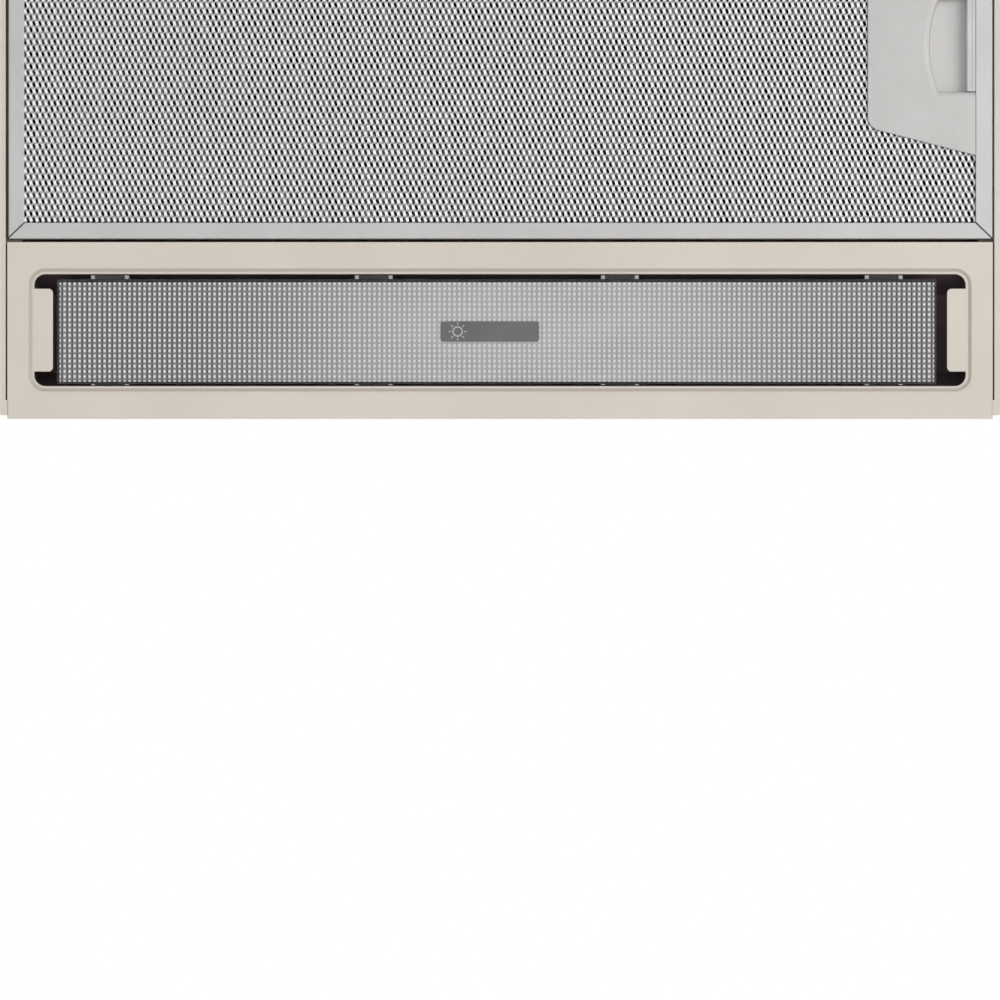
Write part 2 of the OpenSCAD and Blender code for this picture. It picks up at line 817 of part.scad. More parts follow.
module scroll_lower() {
  color(dark) difference() {
    union() {
      translate([0, 0, scroll_low_z]) linear_extrude(scroll_t) scroll_outline(scroll_t);
      scroll_wall(scroll_low_z + scroll_t - tiny, scroll_split_z);
      scroll_joint(scroll_split_z - 2, scroll_split_z);
    }
    translate([fan_x, fan_y, scroll_low_z - 1]) cylinder(h = scroll_t + 2, r = blade_in_r + 1);
  }
}

// The bell mouth that leads the air into the impeller
module inlet_ring() {
  plate_t = 2;
  wall = 1.6;
  edge_r = blade_in_r + 12;
  rise = impeller_low_z - 1 - (scroll_low_z - plate_t);
  color(grey_plastic) translate([fan_x, fan_y, scroll_low_z - plate_t]) rotate_extrude()
    polygon([[inlet_r, plate_t], [inlet_r + plate_t, 0], [edge_r, 0], [edge_r, plate_t],
             [inlet_r + wall, plate_t], [inlet_r + wall, rise], [inlet_r, rise]]);
}

module motor_bracket() {
  color(steel) difference() {
    translate([fan_x, fan_y, motor_top_z]) cylinder(h = bracket_t, r = bracket_r);
    translate([0, 0, motor_top_z - 1]) at_motor_screws()
      cylinder(h = bracket_t + 2, r = screw_r + screw_clear);
  }
}

// Puts children at each screw that holds the motor bracket
module at_motor_screws() {
  edge = 4.5;
  for (a = [30, 150, 270])
    translate(concat(on_circle(fan_centre, bracket_r - edge, a), 0)) children();
}

module motor() {
  low = motor_top_z - motor_h;
  cap_h = 6;
  cap_step = 4;
  boss_h = 3;
  boss_r = 9;
  color(steel) translate([fan_x, fan_y, low]) difference() {
    union() {
      cylinder(h = cap_h, r = motor_r - cap_step);
      translate([0, 0, cap_h - tiny]) cylinder(h = motor_h - cap_h + tiny, r = motor_r);
      translate([0, 0, -boss_h]) cylinder(h = boss_h + 1, r = boss_r);
    }
    translate([0, 0, -boss_h - 1]) cylinder(h = motor_h, r = shaft_r + shaft_gap);
  }
}

module motor_shaft() {
  end_z = motor_top_z - 8;
  color([0.75, 0.76, 0.78])
    translate([fan_x, fan_y, shaft_low_z]) cylinder(h = end_z - shaft_low_z, r = shaft_r);
}

// One forward-curved blade: an arc between two circles
module blade() {
  depth = impeller_r - 1 - blade_in_r;
  curl = 0.7;
  lean = 0.45;
  root = 0.5;
  arc_r = curl * depth;
  translate([blade_in_r + depth / 2, -lean * arc_r]) intersection() {
    difference() {
      circle(arc_r, $fn = facet_fn);
      circle(arc_r - blade_t, $fn = facet_fn);
    }
    translate([-depth / 2 - root, 0]) square([depth + root + 0.3, 2 * arc_r]);
  }
}

module impeller() {
  height = impeller_top_z - impeller_low_z;
  color([0.2, 0.2, 0.21]) translate([fan_x, fan_y, 0]) {
    // plate above the blades, dish around the motor, hub on the shaft
    translate([0, 0, impeller_top_z - impeller_plate]) linear_extrude(impeller_plate) difference() {
      circle(impeller_r);
      circle(dish_in_r);
    }
    translate([0, 0, dish_low_z]) linear_extrude(impeller_top_z - dish_low_z) difference() {
      circle(dish_in_r + dish_t);
      circle(dish_in_r);
    }
    difference() {
      union() {
        translate([0, 0, dish_low_z - dish_t]) cylinder(h = dish_t + tiny, r = dish_in_r + dish_t);
        translate([0, 0, dish_low_z - hub_drop]) cylinder(h = hub_drop, r = hub_r);
      }
      translate([0, 0, dish_low_z - hub_drop - 1])
        cylinder(h = hub_drop + 2, r = shaft_r + press_fit);
    }
    translate([0, 0, impeller_low_z]) linear_extrude(impeller_plate) difference() {
      circle(impeller_r);
      circle(blade_in_r);
    }
    translate([0, 0, impeller_low_z + impeller_plate - tiny])
      linear_extrude(height - 2 * impeller_plate + 2 * tiny)
        for (i = [0 : blade_count - 1]) rotate(360 * i / blade_count) blade();
  }
}

// distance that a screw's end stays below the sheet it is driven into
screw_shy = 0.1;

module screw_at(z, len) {
  head_h = 1.5;
  head_r = 2.9;
  translate([0, 0, z]) {
    translate([0, 0, -head_h]) cylinder(h = head_h, r = head_r);
    translate([0, 0, -tiny]) cylinder(h = len - screw_shy + tiny, r = screw_r);
  }
}

module scroll_screws() {
  color(steel) at_scroll_screws() screw_at(bracket_z, scroll_t + sheet);
}

module motor_screws() {
  color(steel) at_motor_screws() screw_at(motor_top_z, bracket_t + scroll_t);
}

module collar_screws() {
  color(steel) at_collar_screws() screw_at(-sheet, sheet + flange_t);
}

module capacitor() {
  foot_t = 2;
  tag = [0.8, 6, 8];
  color([0.85, 0.85, 0.86]) translate([half_w - capacitor_inset, capacitor_back, -sheet])
    mirror([0, 0, 1]) {
      cylinder(h = foot_t, r = capacitor_r + 2);
      cylinder(h = capacitor_h, r = capacitor_r);
      for (s = [-1, 1]) translate([s * capacitor_r / 3, 0, capacitor_h + tag[2] / 2 - tiny])
        cube(tag, center = true);
    }
}

// ---------------------------------------------------------------- supply

module terminal_box() {
  y1 = rear_y - sheet;
  z0 = gland_z - box_h / 2;
  color(dark) difference() {
    block([gland_x - box_w / 2, y1 - box_d, z0], [gland_x + box_w / 2, y1, z0 + box_h]);
    block([gland_x - box_w / 2 + box_wall, y1 - box_d - 1, z0 + box_wall],
          [gland_x + box_w / 2 - box_wall, y1 - box_wall, z0 + box_h - box_wall]);
    translate([gland_x, y1 + 1, gland_z]) rotate([90, 0, 0])
      cylinder(h = box_wall + 2, r = gland_thread_r + round_fit);
  }
}

module terminal_cover() {
  y1 = rear_y - sheet - box_d;
  z0 = gland_z - box_h / 2;
  lip_gap = 0.2;
  lip = box_wall + lip_gap;
  color(grey_plastic) {
    block([gland_x - box_w / 2, y1 - box_wall, z0], [gland_x + box_w / 2, y1, z0 + box_h]);
    block([gland_x - box_w / 2 + lip, y1 - tiny, z0 + lip],
          [gland_x + box_w / 2 - lip, y1 + 2, z0 + box_h - lip]);
  }
}

module terminal_block() {
  ways = 5;
  way = [8, 14, 11];
  floor_t = 4;
  y = rear_y - sheet - box_d / 2;
  z0 = gland_z - box_h / 2 + box_wall;
  color([0.9, 0.9, 0.88]) difference() {
    block([gland_x - ways * way[0] / 2, y - way[1] / 2, z0],
          [gland_x + ways * way[0] / 2, y + way[1] / 2, z0 + way[2]]);
    for (i = [0 : ways - 1])
      translate([gland_x + (i - (ways - 1) / 2) * way[0], y, z0 + floor_t])
        cylinder(h = way[2], r = way[0] / 4);
  }
}

module cable_gland() {
  wall = box_wall + sheet;
  locknut_t = 4;
  inner_l = wall + locknut_t + 1;
  outer_l = gland_nut_t + gland_cap_t;
  color(dark) translate([gland_x, rear_y, gland_z]) rotate([90, 0, 0]) difference() {
    union() {
      translate([0, 0, -outer_l]) cylinder(h = outer_l + inner_l, r = gland_thread_r);
      translate([0, 0, -gland_nut_t]) cylinder(h = gland_nut_t, r = gland_nut_r, $fn = 6);
      translate([0, 0, wall]) cylinder(h = locknut_t, r = gland_nut_r, $fn = 6);
    }
    translate([0, 0, -outer_l - 1]) cylinder(h = outer_l + inner_l + 2, r = gland_bore_r);
  }
}

// ---------------------------------------------------------------- duct

// Puts children at each screw that holds the duct collar
module at_collar_screws() {
  edge = 5;
  for (a = [-60, 12, 90, 150])
    translate(concat(on_circle(collar_centre, flange_r - edge, a), 0)) children();
}

module duct_collar() {
  color(dark) difference() {
    translate([0, collar_y, flange_t]) cylinder(h = collar_h - flange_t, r = collar_r);
    difference() {
      translate([0, collar_y, 0]) cylinder(h = collar_h + 1, r = bore_r);
      // the step that the flaps close on
      translate([0, collar_y, pin_z - flap_t / 2 - clip_gap - stop_t]) difference() {
        cylinder(h = stop_t, r = bore_r + 1);
        translate([0, 0, -1]) cylinder(h = stop_t + 2, r = bore_r - stop_w);
      }
    }
    translate([0, collar_y, pin_z]) rotate([90, 0, 0])
      cylinder(h = 2 * collar_r + 2, r = pin_r + round_fit, center = true);
  }
}

module collar_flange() {
  color(dark) difference() {
    translate([0, collar_y, 0]) cylinder(h = flange_t, r = flange_r);
    translate([0, collar_y, -1]) cylinder(h = flange_t + 2, r = bore_r);
    at_collar_screws() translate([0, 0, -1]) cylinder(h = flange_t + 2, r = screw_r + screw_clear);
  }
}

module damper_pin() {
  color(steel) translate([0, collar_y, pin_z]) rotate([90, 0, 0])
    cylinder(h = 2 * collar_r - 1, r = pin_r, center = true);
}

// A half-round flap on the -X side, with every second knuckle from the given one
module flap(first) {
  translate([0, collar_y, pin_z]) {
    difference() {
      union() {
        intersection() {
          translate([0, 0, -flap_t / 2]) cylinder(h = flap_t, r = flap_r);
          translate([-flap_r - 1, -flap_r - 1, -flap_t])
            cube([flap_r + 1 - flap_edge, 2 * flap_r + 2, 2 * flap_t]);
        }
        for (i = [first, first + 2]) translate([0, (i - 2) * knuckle_pitch, 0]) {
          translate([0, knuckle_l, 0]) rotate([90, 0, 0]) cylinder(h = knuckle_l, r = knuckle_r);
          translate([-flap_edge - 1, 0, -flap_t / 2])
            cube([flap_edge + 1 - pin_r, knuckle_l, flap_t]);
        }
      }
      rotate([90, 0, 0]) cylinder(h = 2 * flap_r + 2, r = pin_r + knuckle_gap, center = true);
    }
  }
}

module flap_left() {
  color([0.25, 0.25, 0.26]) flap(0);
}

module flap_right() {
  color([0.25, 0.25, 0.26]) mirror([1, 0, 0]) flap(1);
}

// ---------------------------------------------------------------- cassettes

// Each cassette is drawn about its own middle line and moved to y

module filter_frame(y) {
  half_d = cassette_d / 2;
  z1 = cassette_top_z;
  mitre = 0.3;
  color(alu) translate([0, y, 0]) difference() {
    union() {
      difference() {
        block([-cassette_half, -half_d, cassette_z], [cassette_half, half_d, z1]);
        block([-cassette_half + bar_t, -half_d + bar_t, cassette_z + bar_t],
              [cassette_half - bar_t, half_d - bar_t, z1 - bar_t]);
        block([-bar_in_x, -half_d + bar_w, cassette_z - 1], [bar_in_x, half_d - bar_w, z1 + 1]);
      }
      for (s = [-1, 1]) translate([0, s * tongue_spread - bead_l / 2, 0]) {
        block([cassette_half - bar_t, 0, hinge_z - tongue_t / 2],
              [bead_x, bead_l, hinge_z + tongue_t / 2]);
        translate([bead_x, bead_l, hinge_z]) rotate([90, 0, 0]) cylinder(h = bead_l, r = bead_r);
      }
    }
    for (sx = [-1, 1], sy = [-1, 1])
      translate([sx * cassette_half, sy * half_d, cassette_z + cassette_t / 2])
        rotate([0, 0, sx * sy * 45]) cube([4 * bar_w, mitre, cassette_t + 2], center = true);
    block([-cassette_half - 1, -bolt_half - latch_gap, bolt_z - latch_gap],
          [-cassette_half + bar_t + 1, bolt_half + latch_gap, bolt_z + bolt_t + latch_gap]);
  }
}

// The room that the handle's pocket and latch take in the filter layers
module handle_room(y) {
  block([-cassette_half, y - pocket_half - pocket_wall - 1, cassette_z - 1],
        [-pocket_in_x + pocket_wall + 1, y + pocket_half + pocket_wall + 1,
         cassette_top_z - bar_t - mesh_t]);
}

module mesh_layer(y, z) {
  half_d = cassette_d / 2 - mesh_inset;
  color([0.7, 0.7, 0.7]) difference() {
    block([-cassette_half + mesh_inset, y - half_d, z],
          [cassette_half - mesh_inset, y + half_d, z + mesh_t]);
    handle_room(y);
  }
}

module pleats(y) {
  half_d = cassette_d / 2 - mesh_inset;
  count = floor(2 * (cassette_half - mesh_inset) / pleat_pitch);
  rise = pleat_high_z - pleat_low_z - pleat_t;
  low = [for (i = [-count : count]) [i * pleat_pitch / 2, (i + count) % 2 == 0 ? 0 : rise]];
  high = [for (p = low) p + [0, pleat_t]];
  color([0.6, 0.6, 0.6]) difference() {
    translate([0, y + half_d, pleat_low_z]) rotate([90, 0, 0])
      linear_extrude(2 * half_d) polygon(concat(low, reversed(high)));
    handle_room(y);
  }
}

// The D-shaped finger pocket, grown by extra: straight at the latch, bulging inward
module pocket_shape(extra) {
  bulge_r = (pow(pocket_half, 2) + pow(pocket_bulge, 2)) / (2 * pocket_bulge) + extra;
  intersection() {
    translate([-bar_in_x, -pocket_half - extra])
      square([bar_in_x - pocket_in_x + extra + 1, 2 * (pocket_half + extra)]);
    translate([-pocket_in_x - bulge_r + extra, 0]) circle(bulge_r, $fn = 4 * facet_fn);
  }
}

// gap between the frame's bars and the handle, and the height of the handle's stops
bar_gap = 0.1;
stop_h = 6;

module filter_handle(y) {
  corner_r = 7;
  outer_x = -bar_in_x + bar_gap;
  inner_x = -bar_in_x + handle_reach;
  stop_low_z = cassette_z + bar_t + bar_gap;
  stop_high_z = cassette_z + stop_h;
  color([0.78, 0.78, 0.77]) translate([0, y, 0]) {
    difference() {
      union() {
        translate([0, 0, cassette_z]) linear_extrude(bar_t) difference() {
          union() {
            polygon([[outer_x, -handle_half_out], [inner_x - corner_r, -handle_half_in - 1],
                     [inner_x - corner_r, handle_half_in + 1], [outer_x, handle_half_out]]);
            translate([inner_x - corner_r - 1, -handle_half_in + corner_r])
              square([corner_r + 1, 2 * (handle_half_in - corner_r)]);
            for (s = [-1, 1]) translate([inner_x - corner_r, s * (handle_half_in - corner_r)])
              circle(corner_r);
          }
        }
        translate([0, 0, cassette_z + bar_t - tiny])
          linear_extrude(pocket_depth + pocket_wall - bar_t + tiny) pocket_shape(pocket_wall);
      }
      translate([0, 0, cassette_z - 1]) linear_extrude(pocket_depth + 1) pocket_shape(0);
    }
    // the two stops behind the latch, inside the frame bar
    for (s = [-1, 1]) mirror([0, s > 0 ? 0 : 1, 0]) {
      block([-spring_stop_x - spring_stop_t, bolt_half + 2, stop_low_z],
            [-spring_stop_x, pocket_half + pocket_wall, stop_high_z]);
      block([-spring_stop_x - spring_stop_t, pocket_half, stop_low_z],
            [-bar_in_x + 2, pocket_half + pocket_wall, stop_high_z]);
    }
  }
}

module filter_latch(y) {
  lip_gap = 0.3;
  lip_low_z = cassette_z + lip_gap;
  lip_high_z = cassette_z + pocket_depth - lip_gap;
  lip_x = -bar_in_x + bar_gap;
  // groove along the lip
  groove_x = lip_x + 1.6;
  groove_w = 1;
  groove_depth = 0.3;
  groove_half = latch_half - 1.4;
  // how far the bar behind the frame stands past the bolt, below and above
  bar_drop = 0.4;
  bar_rise = 0.6;
  color([0.72, 0.72, 0.72]) translate([0, y, 0]) {
    difference() {
      block([lip_x, -latch_half, lip_low_z], [lip_x + latch_lip_w, latch_half, lip_high_z]);
      block([groove_x, -groove_half, lip_low_z - 1],
            [groove_x + groove_w, groove_half, lip_low_z + groove_depth]);
    }
    block([-bolt_tip_x, -bolt_half, bolt_z], [lip_x + tiny, bolt_half, bolt_z + bolt_t]);
    block([-latch_bar_x - latch_bar_t, -spring_y - 3, bolt_z - bar_drop],
          [-latch_bar_x, spring_y + 3, bolt_z + bolt_t + bar_rise]);
  }
}

// Two coil springs between the latch's bar and the stops
module filter_springs(y) {
  turn_steps = 10;
  x0 = -latch_bar_x + spring_wire_r;
  x1 = -spring_stop_x - spring_stop_t - spring_wire_r;
  steps = turn_steps * spring_turns;
  color(steel) for (s = [-1, 1])
    tube([for (i = [0 : steps])
      let (a = 360 * spring_turns * i / steps)
      [x0 + (x1 - x0) * i / steps, y + s * spring_y + spring_r * cos(a),
       bolt_z + bolt_t / 2 + spring_r * sin(a)]], spring_wire_r, 6, [1, 0, 0]);
}

// The sprung catch on the left-hand side wall that the latch's bolt hooks over
module filter_catch(y) {
  top = bolt_z - latch_gap;
  root_h = 2.3;
  nose_h = 0.4;
  color(steel) translate([0, y + bolt_half, 0]) rotate([90, 0, 0])
    linear_extrude(2 * bolt_half) polygon([[-strip_x, top], [-strip_x, top - root_h],
      [-strip_x + catch_out, top - nose_h], [-strip_x + catch_out, top]]);
}

module front_filter_frame() { filter_frame(front_cassette_y); }
module rear_filter_frame() { filter_frame(rear_cassette_y); }
module front_filter_lower_mesh() { mesh_layer(front_cassette_y, cassette_z + bar_t); }
module rear_filter_lower_mesh() { mesh_layer(rear_cassette_y, cassette_z + bar_t); }
module front_filter_pleats() { pleats(front_cassette_y); }
module rear_filter_pleats() { pleats(rear_cassette_y); }
module front_filter_upper_mesh() { mesh_layer(front_cassette_y, pleat_high_z); }
module rear_filter_upper_mesh() { mesh_layer(rear_cassette_y, pleat_high_z); }
module front_filter_handle() { filter_handle(front_cassette_y); }
module rear_filter_handle() { filter_handle(rear_cassette_y); }
module front_filter_latch() { filter_latch(front_cassette_y); }
module rear_filter_latch() { filter_latch(rear_cassette_y); }
module front_filter_springs() { filter_springs(front_cassette_y); }
module rear_filter_springs() { filter_springs(rear_cassette_y); }
module front_filter_catch() { filter_catch(front_cassette_y); }
module rear_filter_catch() { filter_catch(rear_cassette_y); }

side_wall_left();
side_wall_right();
top_panel();
rear_wall();
front_panel();
centre_rail();
lamp_housing();
lampholder_bracket();
lampholder_left();
lampholder_right();
bulb_left();
bulb_right();
lens();
lens_pad();
control_bezel();
switch_body();
speed_knob();
light_knob();
scroll_upper();
scroll_lower();
inlet_ring();
motor_bracket();
motor();
motor_shaft();
impeller();
capacitor();
terminal_box();
terminal_block();
terminal_cover();
cable_gland();
duct_collar();
collar_flange();
damper_pin();
flap_left();
flap_right();
front_filter_frame();
front_filter_lower_mesh();
front_filter_pleats();
front_filter_upper_mesh();
front_filter_handle();
front_filter_latch();
front_filter_springs();
front_filter_catch();
rear_filter_frame();
rear_filter_lower_mesh();
rear_filter_pleats();
rear_filter_upper_mesh();
rear_filter_handle();
rear_filter_latch();
rear_filter_springs();
rear_filter_catch();
scroll_screws();
motor_screws();
collar_screws();
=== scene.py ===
"""Looks of the under cabinet range hood: finishes, fine meshes, lamps, floor and camera."""

import json
import math

import bmesh
import bpy
import numpy as np
from mathutils import Matrix, Vector
from mathutils.geometry import tessellate_polygon

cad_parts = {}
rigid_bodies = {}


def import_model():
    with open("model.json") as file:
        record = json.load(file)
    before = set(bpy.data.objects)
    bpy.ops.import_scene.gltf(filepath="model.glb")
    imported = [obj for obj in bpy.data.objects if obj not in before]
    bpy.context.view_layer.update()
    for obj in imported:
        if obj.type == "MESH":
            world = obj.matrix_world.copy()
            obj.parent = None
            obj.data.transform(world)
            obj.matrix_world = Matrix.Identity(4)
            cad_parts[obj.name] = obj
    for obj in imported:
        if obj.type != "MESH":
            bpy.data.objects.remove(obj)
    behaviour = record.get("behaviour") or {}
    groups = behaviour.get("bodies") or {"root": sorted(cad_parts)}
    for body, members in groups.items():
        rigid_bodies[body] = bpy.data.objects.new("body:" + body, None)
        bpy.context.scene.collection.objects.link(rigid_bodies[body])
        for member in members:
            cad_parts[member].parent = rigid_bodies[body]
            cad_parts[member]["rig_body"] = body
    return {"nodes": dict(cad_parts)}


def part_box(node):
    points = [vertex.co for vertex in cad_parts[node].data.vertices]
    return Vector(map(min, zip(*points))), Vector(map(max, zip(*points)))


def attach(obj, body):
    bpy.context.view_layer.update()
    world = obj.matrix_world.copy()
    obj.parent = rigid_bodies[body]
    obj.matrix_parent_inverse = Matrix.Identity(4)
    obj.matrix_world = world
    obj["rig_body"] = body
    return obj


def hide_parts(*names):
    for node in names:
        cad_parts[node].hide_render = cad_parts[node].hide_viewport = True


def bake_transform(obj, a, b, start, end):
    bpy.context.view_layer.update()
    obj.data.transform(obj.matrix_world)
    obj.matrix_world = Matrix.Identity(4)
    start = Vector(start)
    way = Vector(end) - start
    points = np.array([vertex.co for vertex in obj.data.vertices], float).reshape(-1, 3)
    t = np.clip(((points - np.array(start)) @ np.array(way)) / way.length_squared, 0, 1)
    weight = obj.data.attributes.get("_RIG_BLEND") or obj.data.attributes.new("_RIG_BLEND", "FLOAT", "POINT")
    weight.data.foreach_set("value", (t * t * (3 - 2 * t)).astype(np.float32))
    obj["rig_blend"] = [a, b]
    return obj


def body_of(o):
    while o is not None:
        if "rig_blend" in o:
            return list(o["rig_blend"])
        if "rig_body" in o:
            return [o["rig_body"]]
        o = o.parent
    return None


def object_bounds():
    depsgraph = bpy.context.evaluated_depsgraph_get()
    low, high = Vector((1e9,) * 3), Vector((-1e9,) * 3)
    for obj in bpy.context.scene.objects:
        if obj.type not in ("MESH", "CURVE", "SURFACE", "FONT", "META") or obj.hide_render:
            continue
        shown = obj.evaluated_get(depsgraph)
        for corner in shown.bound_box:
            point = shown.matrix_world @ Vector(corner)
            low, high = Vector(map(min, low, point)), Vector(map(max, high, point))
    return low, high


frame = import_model()
cad_low, cad_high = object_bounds()
nodes = frame["nodes"]
MM = 0.001
SHARP = math.radians(32)  # edges that bend more than this stay sharp, or are rounded


# ---------------------------------------------------------------- finishes

class Finish:
    """A material round one Principled shader, patterned in the object's own space."""

    def __init__(self, name, color, roughness, metallic=0.0, **sockets):
        self.material = bpy.data.materials.new(name)
        self.material.use_nodes = True
        self.tree = self.material.node_tree
        self.shader = self.tree.nodes["Principled BSDF"]
        self.color = tuple(color)
        self.roughness = roughness
        self.set("Base Color", (*color, 1.0))
        self.set("Roughness", roughness)
        self.set("Metallic", metallic)
        for key, value in sockets.items():
            self.set(key.replace("_", " "), value)
        self.height = None
        self.tone = None

    def set(self, socket, value):
        self.shader.inputs[socket].default_value = value

    def add(self, kind, **settings):
        made = self.tree.nodes.new(kind)
        for key, value in settings.items():
            if hasattr(made, key):
                setattr(made, key, value)
            else:
                made.inputs[key.replace("_", " ")].default_value = value
        return made

    def link(self, source, target):
        self.tree.links.new(source, target)

    def space(self, stretch=(1, 1, 1)):
        """The object's coordinates in metres, multiplied along each axis."""
        place = self.add("ShaderNodeTexCoord")
        mapping = self.add("ShaderNodeMapping")
        mapping.inputs["Scale"].default_value = stretch
        self.link(place.outputs["Object"], mapping.inputs["Vector"])
        return mapping.outputs["Vector"]

    def noise(self, scale, detail=3.0, stretch=(1, 1, 1), low=0.35, high=0.65):
        """Noise spread over 0 to 1, with scale in features per metre."""
        made = self.add("ShaderNodeTexNoise", Scale=scale, Detail=detail)
        self.link(self.space(stretch), made.inputs["Vector"])
        return self.spread(made.outputs["Fac"], low, high)

    def cells(self, scale, stretch=(1, 1, 1)):
        """Voronoi cells, with scale in cells per metre."""
        made = self.add("ShaderNodeTexVoronoi", Scale=scale)
        self.link(self.space(stretch), made.inputs["Vector"])
        return made

    def vector(self, operation, first, second=None):
        """A vector operation on a socket and a constant vector."""
        made = self.add("ShaderNodeVectorMath", operation=operation)
        self.link(first, made.inputs[0])
        if second is not None:
            made.inputs[1].default_value = second
        return made.outputs["Value" if operation == "LENGTH" else "Vector"]

    def spread(self, value, low, high, smooth=False):
        """A number taken from low..high to 0..1."""
        made = self.add("ShaderNodeMapRange")
        if smooth:
            made.interpolation_type = "SMOOTHSTEP"
        made.inputs["From Min"].default_value = low
        made.inputs["From Max"].default_value = high
        self.link(value, made.inputs["Value"])
        return made.outputs["Result"]

    def waves(self, start, pitch):
        """Cosines of the place along X, Y and Z, 1 at start and at each pitch from it."""
        place = self.vector("SUBTRACT", self.space(), start)
        turns = self.vector("MULTIPLY", place, tuple(2 * math.pi / p for p in pitch))
        split = self.add("ShaderNodeSeparateXYZ")
        self.link(self.vector("COSINE", turns), split.inputs[0])
        return split.outputs

    def math(self, operation, first, second):
        """An operation on a socket and another socket or a number."""
        made = self.add("ShaderNodeMath", operation=operation)
        self.link(first, made.inputs[0])
        if isinstance(second, (int, float)):
            made.inputs[1].default_value = second
        else:
            self.link(second, made.inputs[1])
        return made.outputs[0]

    def tint(self, factor, other):
        """Mixes the colour so far towards another where factor is 1."""
        mix = self.add("ShaderNodeMix", data_type="RGBA")
        mix.inputs[6].default_value = (*self.color, 1.0)
        mix.inputs[7].default_value = (*other, 1.0)
        if self.tone is not None:
            self.link(self.tone, mix.inputs[6])
        self.tone = mix.outputs[2]
        self.link(factor, mix.inputs[0])
        self.link(mix.outputs[2], self.shader.inputs["Base Color"])
        return self

    def polish(self, factor, other):
        """Spreads the roughness between its own value and another."""
        spread = self.add("ShaderNodeMapRange")
        spread.inputs["To Min"].default_value = self.roughness
        spread.inputs["To Max"].default_value = other
        self.link(factor, spread.inputs["Value"])
        self.link(spread.outputs["Result"], self.shader.inputs["Roughness"])
        return self

    def relief(self, factor, depth):
        """Adds a bump of that depth in metres, on top of any earlier one."""
        bump = self.add("ShaderNodeBump", Strength=1.0, Distance=depth)
        self.link(factor, bump.inputs["Height"])
        if self.height is not None:
            self.link(self.height, bump.inputs["Normal"])
        self.height = bump.outputs["Normal"]
        self.link(self.height, self.shader.inputs["Normal"])
        return self


def enamel(name, color, shade, roughness=0.34):
    """Baked enamel: a faint unevenness of tone and a fine orange-peel surface."""
    made = Finish(name, color, roughness, Coat_Weight=0.25, Coat_Roughness=0.18)
    made.tint(made.noise(14, 4), shade)
    made.polish(made.noise(60, 4), roughness + 0.1)
    made.relief(made.noise(700, 2), 0.02 * MM)
    return made.relief(made.noise(24, 2), 0.05 * MM)


def paint(name, color, shade, roughness=0.34):
    return enamel(name, color, shade, roughness).material


def moulding(name, color, roughness, grain=1600, depth=0.02 * MM):
    """Moulded plastic with a fine spark-eroded grain and slightly polished patches."""
    made = Finish(name, color, roughness)
    made.tint(made.noise(40, 3), tuple(min(1.0, c * 1.18 + 0.004) for c in color))
    made.polish(made.noise(90, 3), roughness + 0.14)
    return made.relief(made.noise(grain, 2), depth).material


def sheet_metal(name, color, shade, roughness, stretch=(4, 260, 260), depth=0.006 * MM,
                metallic=1.0):
    """Rolled or brushed metal: fine lines along the first, short axis of stretch."""
    made = Finish(name, color, roughness, metallic)
    made.tint(made.noise(30, 4), shade)
    lines = made.noise(6, 5, stretch)
    made.polish(lines, roughness + 0.12)
    return made.relief(lines, depth)


def rolled(name, color, shade, roughness, **settings):
    return sheet_metal(name, color, shade, roughness, **settings).material


def zinc(name, color, shade):
    """Galvanised sheet: flat crystals of differing tone."""
    made = Finish(name, color, 0.36, metallic=1.0)
    split = made.add("ShaderNodeSeparateColor")
    made.link(made.cells(95).outputs["Color"], split.inputs["Color"])
    tone = split.outputs["Red"]
    made.tint(tone, shade)
    made.polish(tone, 0.52)
    return made.relief(made.noise(500, 2), 0.01 * MM).material


CREAM, CREAM_SHADE = (0.735, 0.675, 0.60), (0.70, 0.64, 0.565)
cream = paint("cream_enamel", CREAM, CREAM_SHADE)
zinc_steel = zinc("zinc_steel", (0.60, 0.61, 0.62), (0.44, 0.45, 0.47))
plate_aluminium = rolled("plate_aluminium", (0.64, 0.63, 0.62), (0.60, 0.59, 0.58), 0.4,
                         stretch=(60, 60, 60), metallic=0.45)
bright_steel = rolled("bright_steel", (0.62, 0.62, 0.64), (0.52, 0.52, 0.54), 0.28,
                      stretch=(200, 200, 20))
motor_steel = rolled("motor_steel", (0.50, 0.51, 0.53), (0.42, 0.43, 0.45), 0.4,
                     stretch=(120, 120, 6))
dark_moulding = moulding("dark_moulding", (0.035, 0.035, 0.038), 0.45)
scroll_moulding = moulding("scroll_moulding", (0.055, 0.055, 0.06), 0.5, 900, 0.03 * MM)
grey_moulding = moulding("grey_moulding", (0.20, 0.20, 0.205), 0.42)
pad_moulding = moulding("pad_moulding", (0.13, 0.13, 0.13), 0.5)
mark_print = moulding("mark_print", (0.46, 0.46, 0.45), 0.5)
dot_print = moulding("dot_print", (0.72, 0.72, 0.71), 0.5)
housing_enamel = paint("housing_enamel", (0.26, 0.19, 0.20), (0.20, 0.15, 0.155), 0.5)
latch_moulding = moulding("latch_moulding", (0.62, 0.62, 0.615), 0.38)
pale_moulding = moulding("pale_moulding", (0.70, 0.70, 0.68), 0.35)
glazed = moulding("glazed_ceramic", (0.80, 0.79, 0.75), 0.16, 300, 0.01 * MM)


def pleated(name):
    """The pleated inner layer: its aluminium painted nearly black as painted shade in the pores, between
    fine bright strands.
    """
    # painted shade: the base colour is nearly black, so that the pores read as shaded depth
    made = Finish(name, (0.015, 0.014, 0.015), 0.5, metallic=0.6)
    strand = made.spread(made.cells(420, (1, 0.6, 1)).outputs["Distance"], 0.42, 0.7)
    made.tint(strand, (0.50, 0.50, 0.51))
    return made.relief(strand, 0.25 * MM).material


pleat_aluminium = pleated("pleat_aluminium")


